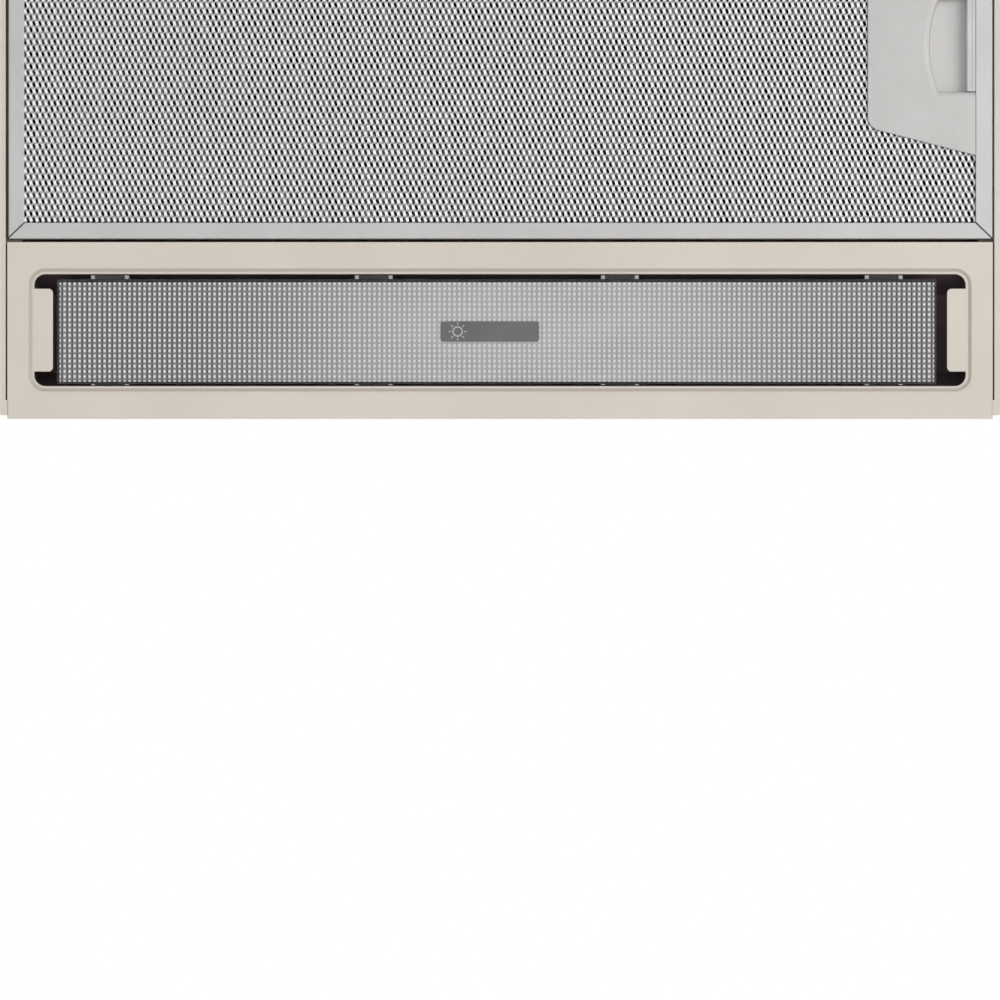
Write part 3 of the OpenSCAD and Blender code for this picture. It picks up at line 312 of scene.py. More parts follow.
def bar_metal():
    """Rolled aluminium of the cassette frames, with painted shade darkening the hinge tongues that lie in
    the gap.
    """
    tongue_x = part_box("side_wall_right")[1][0] - 4.6 * MM
    made = sheet_metal("bar_aluminium", (0.68, 0.675, 0.67), (0.64, 0.635, 0.63), 0.42,
                       metallic=0.55)
    split = made.add("ShaderNodeSeparateXYZ")
    made.link(made.space(), split.inputs[0])
    # painted shade: the hinge tongues beyond this line are darkened to the shade of the gap they sit in
    gap_shade = made.spread(split.outputs["X"], tongue_x, tongue_x + 0.3 * MM)
    made.tint(gap_shade, (0.16, 0.15, 0.14))
    return made.material


bar_aluminium = bar_metal()


def strands(name, start, pitch):
    """Cut and drawn aluminium, with painted shade where the rows join, so that the strands between them read
    as lit.
    """
    made = sheet_metal(name, (1.0, 1.0, 1.0), (0.95, 0.95, 0.96), 0.42, stretch=(200, 60, 60))
    across = made.waves((0, start, 0), (1, pitch, 1))["Y"]
    # painted shade: darker bands at the joins between rows
    made.tint(made.spread(across, 0.1, -0.9, smooth=True), (0.60, 0.60, 0.61))
    return made.material


RIM_CORNER = 5.5 * MM  # radius of the corners of the lamp opening
RIM_INSET = (2.1 * MM, 3.3 * MM)  # from the lamp housing's box to the opening, in X and Y


def rim_core():
    """The middle in Y and the half sizes of the box that the opening's outline is rounded from."""
    low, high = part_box("lamp_housing")
    half_x = high[0] - RIM_INSET[0] - RIM_CORNER
    half_y = (high[1] - low[1]) / 2 - RIM_INSET[1] - RIM_CORNER
    return (low[1] + high[1]) / 2, half_x, half_y


def panel_enamel():
    """The front panel's enamel, with painted shade and a slight groove along the crease of the pressed rim.
    """
    middle_y, half_x, half_y = rim_core()
    half = (half_x, half_y, 9.0)  # taller than the hood, so that height never counts
    crease_out, crease_half, line_half = 1.9 * MM, 1.3 * MM, 0.2 * MM
    made = enamel("panel_enamel", CREAM, CREAM_SHADE)
    place = made.vector("ABSOLUTE", made.vector("SUBTRACT", made.space(), (0, middle_y, 0)))
    beyond = made.vector("MAXIMUM", made.vector("SUBTRACT", place, half), (0, 0, 0))
    out = made.math("SUBTRACT", made.vector("LENGTH", beyond), RIM_CORNER + crease_out)
    crease_shade_and_groove = made.spread(made.math("ABSOLUTE", out, 0), crease_half, line_half, smooth=True)
    # painted shade: the enamel darkens along the crease, where shade falls; the bump below is a real groove
    made.tint(crease_shade_and_groove, (0.56, 0.50, 0.44))
    return made.relief(made.math("MULTIPLY", crease_shade_and_groove, -1.0), 0.2 * MM).material


cream_panel = panel_enamel()


def clear(name, tint, roughness, ior):
    made = Finish(name, tint, roughness, Transmission_Weight=1.0, IOR=ior)
    made.polish(made.noise(120, 3), roughness + 0.05)
    return made.material


lens_clear = clear("lens_clear", (0.93, 0.94, 0.95), 0.06, 1.49)
# painted highlight: opaque pale grey stands in for the lens's clear ribs catching the light
rib_glint_plastic = moulding("rib_glint_plastic", (0.42, 0.42, 0.42), 0.2, 300, 0.01 * MM)
frosted = Finish("frosted_glass", (0.86, 0.86, 0.84), 0.28)
frosted.relief(frosted.noise(900, 2), 0.01 * MM)


# ---------------------------------------------------------------- pieces

def link_mesh(name, mesh, material, body):
    """A new piece that rides on a body."""
    piece = bpy.data.objects.new(name, mesh)
    bpy.context.scene.collection.objects.link(piece)
    mesh.materials.clear()
    mesh.materials.append(material)
    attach(piece, body)
    return piece


def round_edges(piece, width, segments=2):
    bevel = piece.modifiers.new("edges", "BEVEL")
    bevel.width = width
    bevel.segments = segments
    bevel.limit_method = "ANGLE"
    bevel.angle_limit = SHARP
    bevel.harden_normals = True
    bevel.use_clamp_overlap = False


def dress(node, material, edge, reshape=None, segments=2):
    """A copy of a CAD node, reshaped if asked, with its edges rounded by that width."""
    mesh = bpy.data.meshes.new(node + "_dressed")
    shape = bmesh.new()
    shape.from_mesh(nodes[node].data)
    bmesh.ops.remove_doubles(shape, verts=shape.verts, dist=0.002 * MM)
    if reshape:
        reshape(shape)
    # flat triangles are merged, so that the bevel meets clean outlines
    flat = [e for e in shape.edges if e.is_manifold and e.calc_face_angle() < 0.0005]
    bmesh.ops.dissolve_limit(shape, angle_limit=0.001, verts=[], edges=flat)
    for face in shape.faces:
        face.smooth = True
    shape.to_mesh(mesh)
    shape.free()
    mesh.set_sharp_from_angle(angle=SHARP)
    piece = link_mesh(node + "_dressed", mesh, material, body_of(nodes[node])[0])
    if edge > 0:
        round_edges(piece, edge, segments)
    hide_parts(node)
    return piece


def finish_node(node, material):
    """A CAD node that stays as it is and only takes a finish."""
    data = nodes[node].data
    data.materials.clear()
    data.materials.append(material)


def mesh_of(name, points, faces, smooth=False):
    """A mesh from points and faces."""
    mesh = bpy.data.meshes.new(name)
    mesh.from_pydata([tuple(p) for p in points], [], [tuple(f) for f in faces])
    mesh.polygons.foreach_set("use_smooth", [smooth] * len(mesh.polygons))
    mesh.update()
    return mesh


def boxes(name, corners):
    """A mesh of boxes, each between two opposite corners."""
    shape = bmesh.new()
    for low, high in corners:
        size = [high[i] - low[i] for i in range(3)]
        middle = [(high[i] + low[i]) / 2 for i in range(3)]
        bmesh.ops.create_cube(
            shape, size=1, matrix=Matrix.Translation(middle) @ Matrix.Diagonal((*size, 1)))
    mesh = bpy.data.meshes.new(name)
    shape.to_mesh(mesh)
    shape.free()
    return mesh


def coil_springs(side):
    """The latch's springs, which shorten between the latch and the handle plate."""
    node = side + "_filter_springs"
    mesh = nodes[node].data.copy()
    piece = bpy.data.objects.new(node + "_coils", mesh)
    bpy.context.scene.collection.objects.link(piece)
    mesh.materials.clear()
    mesh.materials.append(bright_steel)
    low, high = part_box(node)
    middle = (low[1] + high[1]) / 2, (low[2] + high[2]) / 2
    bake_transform(piece, side + "_latch", side + "_filter",
             start=(low[0], *middle), end=(high[0], *middle))
    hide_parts(node)


BAR_W = 8 * MM  # width of a cassette frame's bars


def widen(shape, half, by):
    """Moves the outer side faces, at half from the middle, outwards."""
    inside, beyond = 0.25 * MM, 0.05 * MM  # the corners of mitred bars lie a little inside
    for vert in shape.verts:
        if half - inside < abs(vert.co.x) < half + beyond:
            vert.co.x += math.copysign(by, vert.co.x)


def widen_frame(shape):
    """Widens a cassette frame and takes a little off the mitred ends of its bars."""
    off_mitre, mitre_gap, tiny = 0.16 * MM, 0.4 * MM, 0.01 * MM
    low = Vector([min(v.co[i] for v in shape.verts) for i in (0, 1)])
    high = Vector([max(v.co[i] for v in shape.verts) for i in (0, 1)])
    half_x, middle_y, half_y = -low.x, (low.y + high.y) / 2, (high.y - low.y) / 2
    ends = []
    for vert in shape.verts:
        in_x = half_x - abs(vert.co.x)
        in_y = half_y - abs(vert.co.y - middle_y)
        if abs(in_x - in_y) < mitre_gap and -tiny < in_x < BAR_W + 0.5 * MM:
            ways = [edge.other_vert(vert).co - vert.co for edge in vert.link_edges]
            # the edges that run level along the bar, of which the longest is the bar's own
            level = [way for way in ways
                     if abs(way.z) < tiny and sorted(map(abs, way))[1] < tiny]
            if level:
                ends.append((vert, max(level, key=lambda way: way.length).normalized()))
    widen(shape, half_x, by=0.35 * MM)
    for vert, inward in ends:
        vert.co += inward * off_mitre


def close_seam(shape):
    """Widens a sheet until it meets the side walls, so that no light comes through."""
    widen(shape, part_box("top_panel")[1][0], by=0.19 * MM)


def press_rim(shape):
    """Turns the step round the lamp opening from an upright wall into a pressed slope."""
    widen(shape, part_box("front_panel")[1][0], by=0.7 * MM)
    middle_y, half_x, half_y = rim_core()
    slope_end, wall_end = 1.3 * MM, 2.8 * MM
    step_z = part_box("front_panel")[0][2] + 1 * MM
    for vert in shape.verts:
        x, y = vert.co.x, vert.co.y - middle_y
        # the nearest point of the core that the opening's outline runs round
        core = Vector((max(-half_x, min(half_x, x)), max(-half_y, min(half_y, y))))
        away = Vector((x, y)) - core
        out = away.length - RIM_CORNER
        if abs(vert.co.z - step_z) < 0.02 * MM and slope_end < out < wall_end:
            away *= (RIM_CORNER + slope_end) / away.length
            vert.co.x, vert.co.y = core.x + away.x, core.y + away.y + middle_y


for name in ("side_wall_left", "side_wall_right"):
    dress(name, cream, 0.1 * MM)
for name in ("top_panel", "rear_wall"):
    dress(name, cream, 0.3 * MM, close_seam)
dress("front_panel", cream_panel, 0.25 * MM, press_rim, 3)
dress("lamp_housing", housing_enamel, 0)
for name in ("centre_rail", "lampholder_bracket", "motor_bracket"):
    dress(name, zinc_steel, 0.2 * MM)
for name in ("lampholder_left", "lampholder_right"):
    dress(name, glazed, 0.8 * MM)
dress("control_bezel", grey_moulding, 0.45 * MM)
for name in ("switch_body", "terminal_box", "collar_flange", "cable_gland"):
    dress(name, dark_moulding, 0.4 * MM)
dress("duct_collar", dark_moulding, 0.2 * MM)
for name in ("speed_knob", "light_knob"):
    dress(name, dark_moulding, 0.2 * MM)
for name in ("scroll_upper", "scroll_lower"):
    dress(name, scroll_moulding, 0.3 * MM)
dress("inlet_ring", grey_moulding, 0.4 * MM)
dress("motor", motor_steel, 0.8 * MM)
dress("motor_shaft", bright_steel, 0.4 * MM)
finish_node("impeller", scroll_moulding)
dress("capacitor", pale_moulding, 0.25 * MM)
dress("terminal_block", pale_moulding, 0.3 * MM)
dress("terminal_cover", grey_moulding, 0.5 * MM)
dress("damper_pin", bright_steel, 0.2 * MM)
for name in ("flap_left", "flap_right"):
    dress(name, scroll_moulding, 0.25 * MM)
for name in ("scroll_screws", "motor_screws", "collar_screws"):
    dress(name, bright_steel, 0.3 * MM)
for side in ("front", "rear"):
    dress(side + "_filter_frame", bar_aluminium, 0.38 * MM, widen_frame)
    dress(side + "_filter_latch", latch_moulding, 0.15 * MM)
    dress(side + "_filter_catch", bright_steel, 0.1 * MM)
    coil_springs(side)
    finish_node(side + "_filter_pleats", pleat_aluminium)


# ---------------------------------------------------------------- expanded mesh

def expanded(name, low, high, pitch_x, pitch_y, slot_w, lean, tilt, covered):
    """Expanded metal between two corners: slanted slots in staggered rows.

    pitch_x and pitch_y are a whole cell. slot_w is the width of a slot, lean the step
    aside of its ends and tilt the rise from its left to its right side. covered(x, y)
    is true for the places where nothing of the mesh shows.
    """
    step_x, step_y = pitch_x / 2, pitch_y / 2
    columns = int((high[0] - low[0]) / step_x)
    rows = int((high[1] - low[1]) / step_y)
    x0 = (low[0] + high[0] - columns * step_x) / 2
    y0 = (low[1] + high[1] - rows * step_y) / 2
    metal = strands(name, y0, step_y)
    tall = 0.5 * step_y
    thick = 0.15 * MM
    # a slot's six corners as (side, height): bottom, right low and high, top, left high and low
    ring = [(0, -1), (1, -0.45), (1, 0.45), (0, 1), (-1, 0.45), (-1, -0.45)]
    points, faces, slots = [], [], {}
    for j in range(rows + 1):
        for i in range((j + 1) % 2, columns + 1, 2):
            x, y = x0 + i * step_x, y0 + j * step_y
            if covered(x, y):
                continue
            first = len(points)
            slots[(i, j)] = range(first, first + 6)
            for rise in (0, thick):
                for side, up in ring:
                    points.append((x + side * slot_w / 2 + up * lean, y + up * tall,
                                   low[2] + (1 + side) * tilt / 2 + rise))
            for a in range(6):
                b = (a + 1) % 6
                faces.append((first + a, first + 6 + a, first + 6 + b, first + b))
    for j in range(rows + 1):
        for i in range(j % 2, columns + 1, 2):
            around = [slots.get(key)
                      for key in ((i - 1, j), (i + 1, j), (i, j + 1), (i, j - 1))]
            if None in around:
                continue
            left, right, above, below = around
            faces += [(left[1], left[2], right[4], right[5]), (left[2], above[0], right[4]),
                      (left[1], right[5], below[3]), (left[2], left[3], above[5], above[0]),
                      (right[4], above[0], above[1], right[3])]
    return mesh_of(name, points, faces), metal


class Shell:
    """Rows of points joined into a surface."""

    def __init__(self):
        self.points, self.faces = [], []

    def row(self, line, z):
        """Adds a row of (x, y) points at a height and gives their numbers."""
        first = len(self.points)
        self.points += [(x, y, z) for x, y in line]
        return list(range(first, len(self.points)))

    def bridge(self, *rows):
        """Joins each row to the next."""
        for a, b in zip(rows, rows[1:]):
            for k in range(len(a) - 1):
                self.faces.append((a[k], a[k + 1], b[k + 1], b[k]))

    def fill(self, outline):
        """Closes a flat outline, given by the numbers of its points."""
        corners = [Vector(self.points[i]) for i in outline]
        self.faces += [[outline[k] for k in face] for face in tessellate_polygon([corners])]

    def block(self, low, high):
        """Adds a box between two corners."""
        first = len(self.points)
        self.points += [(x, y, z) for x in (low[0], high[0]) for y in (low[1], high[1])
                        for z in (low[2], high[2])]
        for face in ((0, 1, 3, 2), (4, 6, 7, 5), (0, 4, 5, 1), (2, 3, 7, 6), (0, 2, 6, 4),
                     (1, 5, 7, 3)):
            self.faces.append([first + k for k in face])

    def mesh(self, name):
        mesh = mesh_of(name, self.points, self.faces, smooth=True)
        shape = bmesh.new()
        shape.from_mesh(mesh)
        bmesh.ops.recalc_face_normals(shape, faces=shape.faces)
        shape.to_mesh(mesh)
        shape.free()
        mesh.set_sharp_from_angle(angle=SHARP)
        return mesh


def quarter(steps=5):
    """Pairs of sine and cosine from 0 to 90 degrees."""
    return [(math.sin(k * math.pi / 2 / steps), math.cos(k * math.pi / 2 / steps))
            for k in range(steps + 1)]


def handle(side):
    """The handle plate of a cassette, with the rounded lip and floor of its finger pocket."""
    low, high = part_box(side + "_filter_handle")
    frame_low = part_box(side + "_filter_frame")[0]
    latch_low, latch_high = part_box(side + "_filter_latch")
    middle = (low[1] + high[1]) / 2
    bar_x = frame_low[0] + BAR_W
    inner_x = high[0]
    plate_t, wall, gap = 0.8 * MM, 1 * MM, 0.1 * MM
    taper, latch_play = 15 * MM, 0.4 * MM
    half_out = (high[1] - low[1]) / 2
    half_in = half_out - taper
    pocket_half = (latch_high[1] - latch_low[1]) / 2 + latch_play
    pocket_reach, bulge = 22.9 * MM, 4.5 * MM
    bulge_r = (pocket_half ** 2 + bulge ** 2) / (2 * bulge)
    bulge_x = bar_x + pocket_reach - bulge_r
    depth = high[2] - low[2] - wall
    lip_w, lip_h, floor_r, draft = 3.2 * MM, 1.4 * MM, 1.0 * MM, 0.2 * MM
    corner_r, corner_steps = 7 * MM, 8
    guide_from, guide_top, guide_in = 9 * MM, 6 * MM, 2 * MM

    def outline(inset):
        """From the bar round the inner edge and back, with rounded corners."""
        x1, y0, y1 = inner_x - inset, half_out - inset, half_in + 1 * MM - inset
        slope = math.atan2(y0 - half_in + inset, x1 - bar_x)
        turn = math.pi / 2 - slope
        set_back = corner_r * math.tan(turn / 2)
        line = []
        for k in range(corner_steps + 1):
            a = slope + turn * k / corner_steps
            line.append((x1 - corner_r + corner_r * math.sin(a),
                         y1 - set_back + corner_r * math.cos(a)))
        top = [(bar_x + gap, y0)] + line
        return [(x, middle + y) for x, y in top] + [(x, middle - y) for x, y in reversed(top)]

    def pocket(grow):
        """The D-shaped line of the pocket, from the bar round the bulge and back."""
        half, radius = pocket_half + grow, bulge_r + grow
        end = math.asin(half / radius)
        arc = [(bulge_x + radius * math.cos(a), middle + radius * math.sin(a))
               for a in np.linspace(-end, end, 25)]
        return [(bar_x + gap, middle - half)] + arc + [(bar_x + gap, middle + half)]

    shell = Shell()
    z0, z1 = low[2], low[2] + plate_t
    edge = [shell.row(outline(0.25 * MM), z0), shell.row(outline(0), z0 + 0.25 * MM),
            shell.row(outline(0), z1)]
    shell.bridge(*edge)
    inside = [shell.row(pocket(lip_w * (1 - s)), z0 + lip_h * (1 - c)) for s, c in quarter()]
    inside += [shell.row(pocket(-draft - floor_r * (1 - c)), z0 + depth - floor_r * (1 - s))
               for s, c in quarter()]
    shell.bridge(*inside)
    shell.fill(edge[0] + inside[0])
    shell.fill(inside[-1])
    outside = [shell.row(pocket(wall), z1), shell.row(pocket(wall), high[2] - wall),
               shell.row(pocket(wall / 2), high[2])]
    shell.bridge(*outside)
    shell.fill(edge[-1] + outside[0])
    shell.fill(outside[-1])
    for sign in (-1, 1):
        ends = middle + sign * guide_from, middle + sign * (pocket_half + wall)
        shell.block((low[0], min(ends), z1 + gap), (low[0] + wall, max(ends), z0 + guide_top))
        ends = middle + sign * pocket_half, middle + sign * (pocket_half + wall)
        shell.block((low[0], min(ends), z1 + gap),
                    (bar_x + guide_in, max(ends), z0 + guide_top))
    name = side + "_filter_handle_plate"
    piece = link_mesh(name, shell.mesh(name), plate_aluminium, side + "_filter")
    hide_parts(side + "_filter_handle")


handle("front")
handle("rear")


def handle_cover(side):
    """True where the handle plate of a cassette covers the mesh."""
    low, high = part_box(side + "_filter_handle")
    middle = (low[1] + high[1]) / 2
    reach = (high[1] - low[1]) / 2

    def covered(x, y):
        # the plate narrows from 0.98 to 0.72 of its reach, and the mesh goes under its edges
        inward = (x - low[0]) / (high[0] - low[0])
        under_x, under_y = 4 * MM, 5 * MM
        half = reach * (0.98 - 0.26 * inward) - under_y
        return x < high[0] - under_x and abs(y - middle) < half
    return covered


for side in ("front", "rear"):
    low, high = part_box(side + "_filter_lower_mesh")
    # the lowest row of slots that shows ends at the front bar's edge
    side_bar, front_bar, rear_bar = 5 * MM, 5.23 * MM, 4.73 * MM
    low = Vector((low[0] + side_bar, low[1] + front_bar, low[2]))
    high = Vector((high[0] - side_bar, high[1] - rear_bar, high[2]))
    mesh, metal = expanded(side + "_filter_expanded_mesh", low, high,
                           pitch_x=2.99 * MM, pitch_y=6.14 * MM, slot_w=1.58 * MM,
                           lean=0.4 * MM, tilt=0.5 * MM, covered=handle_cover(side))
    piece = link_mesh(side + "_filter_expanded_mesh", mesh, metal, side + "_filter")
    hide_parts(side + "_filter_lower_mesh")

    low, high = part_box(side + "_filter_upper_mesh")
    mesh, metal = expanded(side + "_filter_upper_expanded_mesh", low, high,
                           pitch_x=6 * MM, pitch_y=12 * MM, slot_w=3 * MM,
                           lean=0.6 * MM, tilt=0.4 * MM, covered=lambda x, y: False)
    piece = link_mesh(side + "_filter_upper_expanded_mesh", mesh, metal, side + "_filter")
    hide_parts(side + "_filter_upper_mesh")


# ---------------------------------------------------------------- lens

def prism_sheet(name, low, high, pitch_x, pitch_y, height, steps=4):
    """A plate whose underside is an egg-crate field of prisms, closed by a flat top."""
    columns = int((high[0] - low[0]) / pitch_x * steps)
    rows = int((high[1] - low[1]) / pitch_y * steps)
    xs = low[0] + np.arange(columns + 1) * pitch_x / steps
    ys = low[1] + np.arange(rows + 1) * pitch_y / steps
    u = np.cos(np.arange(columns + 1) * 2 * math.pi / steps)
    v = np.cos(np.arange(rows + 1) * 2 * math.pi / steps)
    rise = (2 - u[None, :] - v[:, None]) / 4
    gx, gy = np.meshgrid(xs, ys)
    under = np.stack([gx, gy, low[2] + height * rise], -1).reshape(-1, 3)
    top = np.stack([gx, gy, np.full_like(gx, high[2])], -1)
    edge = [(0, i) for i in range(columns)] + [(j, columns) for j in range(rows)]
    edge += [(rows, i) for i in range(columns, 0, -1)] + [(j, 0) for j in range(rows, 0, -1)]
    rim = np.array([top[j, i] for j, i in edge])
    index = np.arange((rows + 1) * (columns + 1)).reshape(rows + 1, columns + 1)
    faces = np.stack([index[:-1, :-1], index[1:, :-1], index[1:, 1:], index[:-1, 1:]], -1)
    faces = faces.reshape(-1, 4).tolist()
    start = len(under)
    ring = [index[j, i] for j, i in edge]
    count = len(ring)
    for k in range(count):
        n = (k + 1) % count
        faces.append([ring[k], ring[n], start + n, start + k])
    faces.append(list(range(start, start + count)))
    mesh = mesh_of(name, np.concatenate([under, rim]), faces, smooth=True)
    mesh.set_sharp_from_angle(angle=math.radians(50))
    return mesh


def prism_plastic(name, start, pitch_x, pitch_y):
    """Clear plastic with painted highlights at its prisms' tips and painted shade beside them."""
    made = Finish(name, (0.025, 0.025, 0.03), 0.16, Transmission_Weight=0.22, IOR=1.49)
    wave = made.waves(start, (pitch_x, pitch_y, 1))
    wide_x, wide_y = 0.64, 1.05  # more makes the bright tips wider that way
    tip_glints = made.math("MULTIPLY", made.math("ADD", wave["X"], wide_x),
                     made.math("ADD", wave["Y"], wide_y))
    # painted highlight and shade: the base colour runs from nearly black beside the prisms to white at their
    # tips
    made.tint(made.spread(tip_glints, -0.6, 2.5), (1.0, 1.0, 1.0))
    split = made.add("ShaderNodeSeparateXYZ")
    made.link(made.space(), split.inputs[0])
    # painted light: a soft haze over the middle, as from the lamps inside, uneven and fading towards both
    # ends
    strongest, left_end, full_from, full_to, right_end = 0.7, -0.215, -0.06, 0.0, 0.17
    rise = made.spread(split.outputs["X"], right_end, full_to, smooth=True)
    fall = made.spread(split.outputs["X"], left_end, full_from, smooth=True)
    painted_haze = made.math("MULTIPLY", made.math("MULTIPLY", rise, fall), strongest)
    patches = made.noise(26, 2, (0.4, 1, 1), -0.4, 0.8)
    made.tint(made.math("MULTIPLY", painted_haze, patches), (0.9, 0.9, 0.9))
    return made.material


SKIRT = 1.2 * MM  # wall of the lens's skirt
FRONT_CLIP, REAR_CLIP = 0.7 * MM, 2.2 * MM  # how far the clips stand out from the skirt
lens_low, lens_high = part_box("lens")
front_y, rear_y = lens_low[1] + FRONT_CLIP, lens_high[1] - REAR_CLIP
clip_places = [(lens_low[0] + lens_high[0]) / 2 + share * (lens_high[0] - lens_low[0])
               for share in (-0.44, -0.14, 0.14, 0.44)]


def lens_edges(low, high):
    """The lens's skirt and its clips."""
    bottom, skirt_top = low[2] + 0.1 * MM, low[2] + 5 * MM
    half_clip = 15 * MM / 2
    corners = [((low[0], front_y, bottom), (high[0], front_y + SKIRT, skirt_top)),
               ((low[0], rear_y - SKIRT, bottom), (high[0], rear_y, skirt_top))]
    for x in (low[0], high[0] - SKIRT):
        corners.append(((x, front_y + SKIRT, bottom), (x + SKIRT, rear_y - SKIRT, skirt_top)))
    for x in clip_places:
        corners += [((x - half_clip, low[1], bottom), (x + half_clip, front_y, high[2])),
                    ((x - half_clip, rear_y, bottom), (x + half_clip, high[1], high[2]))]
    return boxes("lens_edges", corners)


def clip_ribs(low, high):
    """The moulded ribs at both ends of each clip, each with a narrow ridge below, in opaque pale grey as
    painted highlights where the clear ribs catch the light.
    """
    from_middle, half_rib, half_ridge = 8.4 * MM, 1.0 * MM, 0.35 * MM
    ridge_z, rib_z, top = (low[2] + z * MM for z in (0.1, 0.25, 4.5))
    front = low[1] + 0.15 * MM, low[1] + 0.75 * MM
    rear = high[1] - 2.15 * MM, high[1] - 0.3 * MM
    corners = []
    for x in clip_places:
        for at in (x - from_middle, x + from_middle):
            for y0, y1 in (front, rear):
                corners += [((at - half_rib, y0, rib_z), (at + half_rib, y1, top)),
                            ((at - half_ridge, y0, ridge_z), (at + half_ridge, y1, rib_z))]
    return boxes("lens_clip_ribs", corners)


field_low = (lens_low[0] + SKIRT, front_y + SKIRT, lens_low[2])
field_high = (lens_high[0] - SKIRT, rear_y - SKIRT, lens_low[2] + 1.8 * MM)
pitch_x, pitch_y, prism_h = 2.5 * MM, 2.58 * MM, 0.5 * MM
prisms = link_mesh("lens_prisms",
                   prism_sheet("lens_prisms", field_low, field_high, pitch_x, pitch_y, prism_h),
                   prism_plastic("lens_prisms", field_low, pitch_x, pitch_y),
                   "lens")
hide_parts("lens")
edges = link_mesh("lens_edges", lens_edges(lens_low, lens_high), lens_clear,
                  "lens")
round_edges(edges, 0.2 * MM)
ribs = link_mesh("lens_clip_ribs", clip_ribs(lens_low, lens_high), rib_glint_plastic, "lens")
round_edges(ribs, 0.15 * MM)
dress("lens_pad", pad_moulding, 0.1 * MM)


def sun_mark():
    """A printed sun, the usual sign for a lamp, at one end of the pad."""
    low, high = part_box("lens_pad")
    from_middle = 16.2 * MM
    ring_in, ring_out, ray_in, ray_out = 1.95 * MM, 2.65 * MM, 3.3 * MM, 4.6 * MM
    half_ray, taper, rays = 0.3 * MM, 0.8, 8
    middle = Vector(((low[0] + high[0]) / 2 + from_middle, (low[1] + high[1]) / 2, 0))
    shell = Shell()
    z0, z1 = low[2] - 0.05 * MM, low[2] + 0.02 * MM

    def ring(radius, z):
        return shell.row([(middle.x + radius * math.cos(a), middle.y + radius * math.sin(a))
                          for a in np.linspace(0, 2 * math.pi, 33)], z)

    rows = [ring(r, z) for r, z in ((ring_in, z1), (ring_in, z0), (ring_out, z0), (ring_out, z1))]
    shell.bridge(*rows, rows[0])
    for k in range(rays):
        turn = 2 * math.pi / rays * k
        along = Vector((math.cos(turn), math.sin(turn), 0))
        aside = Vector((-along.y, along.x, 0)) * half_ray
        inner, outer = middle + along * ray_in, middle + along * ray_out
        ends = [inner - aside, outer - aside * taper, outer + aside * taper, inner + aside]
        line = [(p.x, p.y) for p in ends + ends[:1]]
        low_row, high_row = shell.row(line, z0), shell.row(line, z1)
        shell.bridge(low_row, high_row)
        shell.fill(low_row[:4])
        shell.fill(high_row[:4])
    return shell.mesh("lens_pad_mark")


link_mesh("lens_pad_mark", sun_mark(), mark_print, "lens")


# ---------------------------------------------------------------- fascia

FASCIA_LEAN = math.radians(15)


def lay_on_fascia(mesh):
    """Moves a mesh drawn as (across, up, out) onto the leaning front of the front panel."""
    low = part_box("front_panel")[0]
    sine, cosine = math.sin(FASCIA_LEAN), math.cos(FASCIA_LEAN)
    mesh.transform(Matrix(((1, 0, 0, 0), (0, sine, -cosine, low[1]),
                           (0, cosine, sine, low[2]), (0, 0, 0, 1))))
    return mesh


def corner_strip(side):
    """The folded strip that closes the corner between the fascia and a side wall."""
    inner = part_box("front_panel")[1][0] + 0.8 * MM
    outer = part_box("side_wall_right")[1][0] - 0.85 * MM
    left, right = sorted((side * inner, side * outer))
    bottom, top = 2.3 * MM, 45.2 * MM  # up the fascia
    back, front = -1.9 * MM, -1.35 * MM  # behind its plane
    return lay_on_fascia(boxes("corner_strip", [((left, bottom, back), (right, top, front))]))


def control_marks():
    """Printed dots over the sliders: small for off, larger for each step."""
    up, behind, ahead = 31.4 * MM, 1.45 * MM, 1.54 * MM  # ahead is just off the bezel
    shell = Shell()
    for knob, travel, steps in (("speed_knob", 27 * MM, 4), ("light_knob", 9 * MM, 2)):
        low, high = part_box(knob)
        for step in range(steps):
            x = (low[0] + high[0]) / 2 + travel * step / (steps - 1)
            radius = (0.45 + 0.2 * step) * MM
            angles = np.linspace(0, 2 * math.pi, 25)
            outline = [(x + radius * math.cos(a), up + radius * math.sin(a)) for a in angles]
            back, front = shell.row(outline, behind), shell.row(outline, ahead)
            shell.bridge(back, front)
            shell.fill(front[:-1])
            shell.fill(back[:-1])
    return lay_on_fascia(shell.mesh("control_marks"))


for name, side in (("corner_strip_left", -1), ("corner_strip_right", 1)):
    strip = link_mesh(name, corner_strip(side), cream, "hood")
    round_edges(strip, 0.12 * MM)
link_mesh("control_marks", control_marks(), dot_print, "hood")


# ---------------------------------------------------------------- bulbs

def lathe(name, profile, place, sides=48):
    """Turns (distance along X, radius) points round an axis along X through place."""
    points, faces = [], []
    for along, radius in profile:
        for k in range(sides):
            angle = 2 * math.pi * k / sides
            points.append((place[0] + along, place[1] + radius * math.cos(angle),
                           place[2] + radius * math.sin(angle)))
    for ring in range(len(profile) - 1):
        for k in range(sides):
            n = (k + 1) % sides
            a, b = ring * sides, (ring + 1) * sides
            faces.append((a + k, a + n, b + n, b + k))
    mesh = mesh_of(name, points, faces, smooth=True)
    mesh.set_sharp_from_angle(angle=math.radians(40))
    return mesh


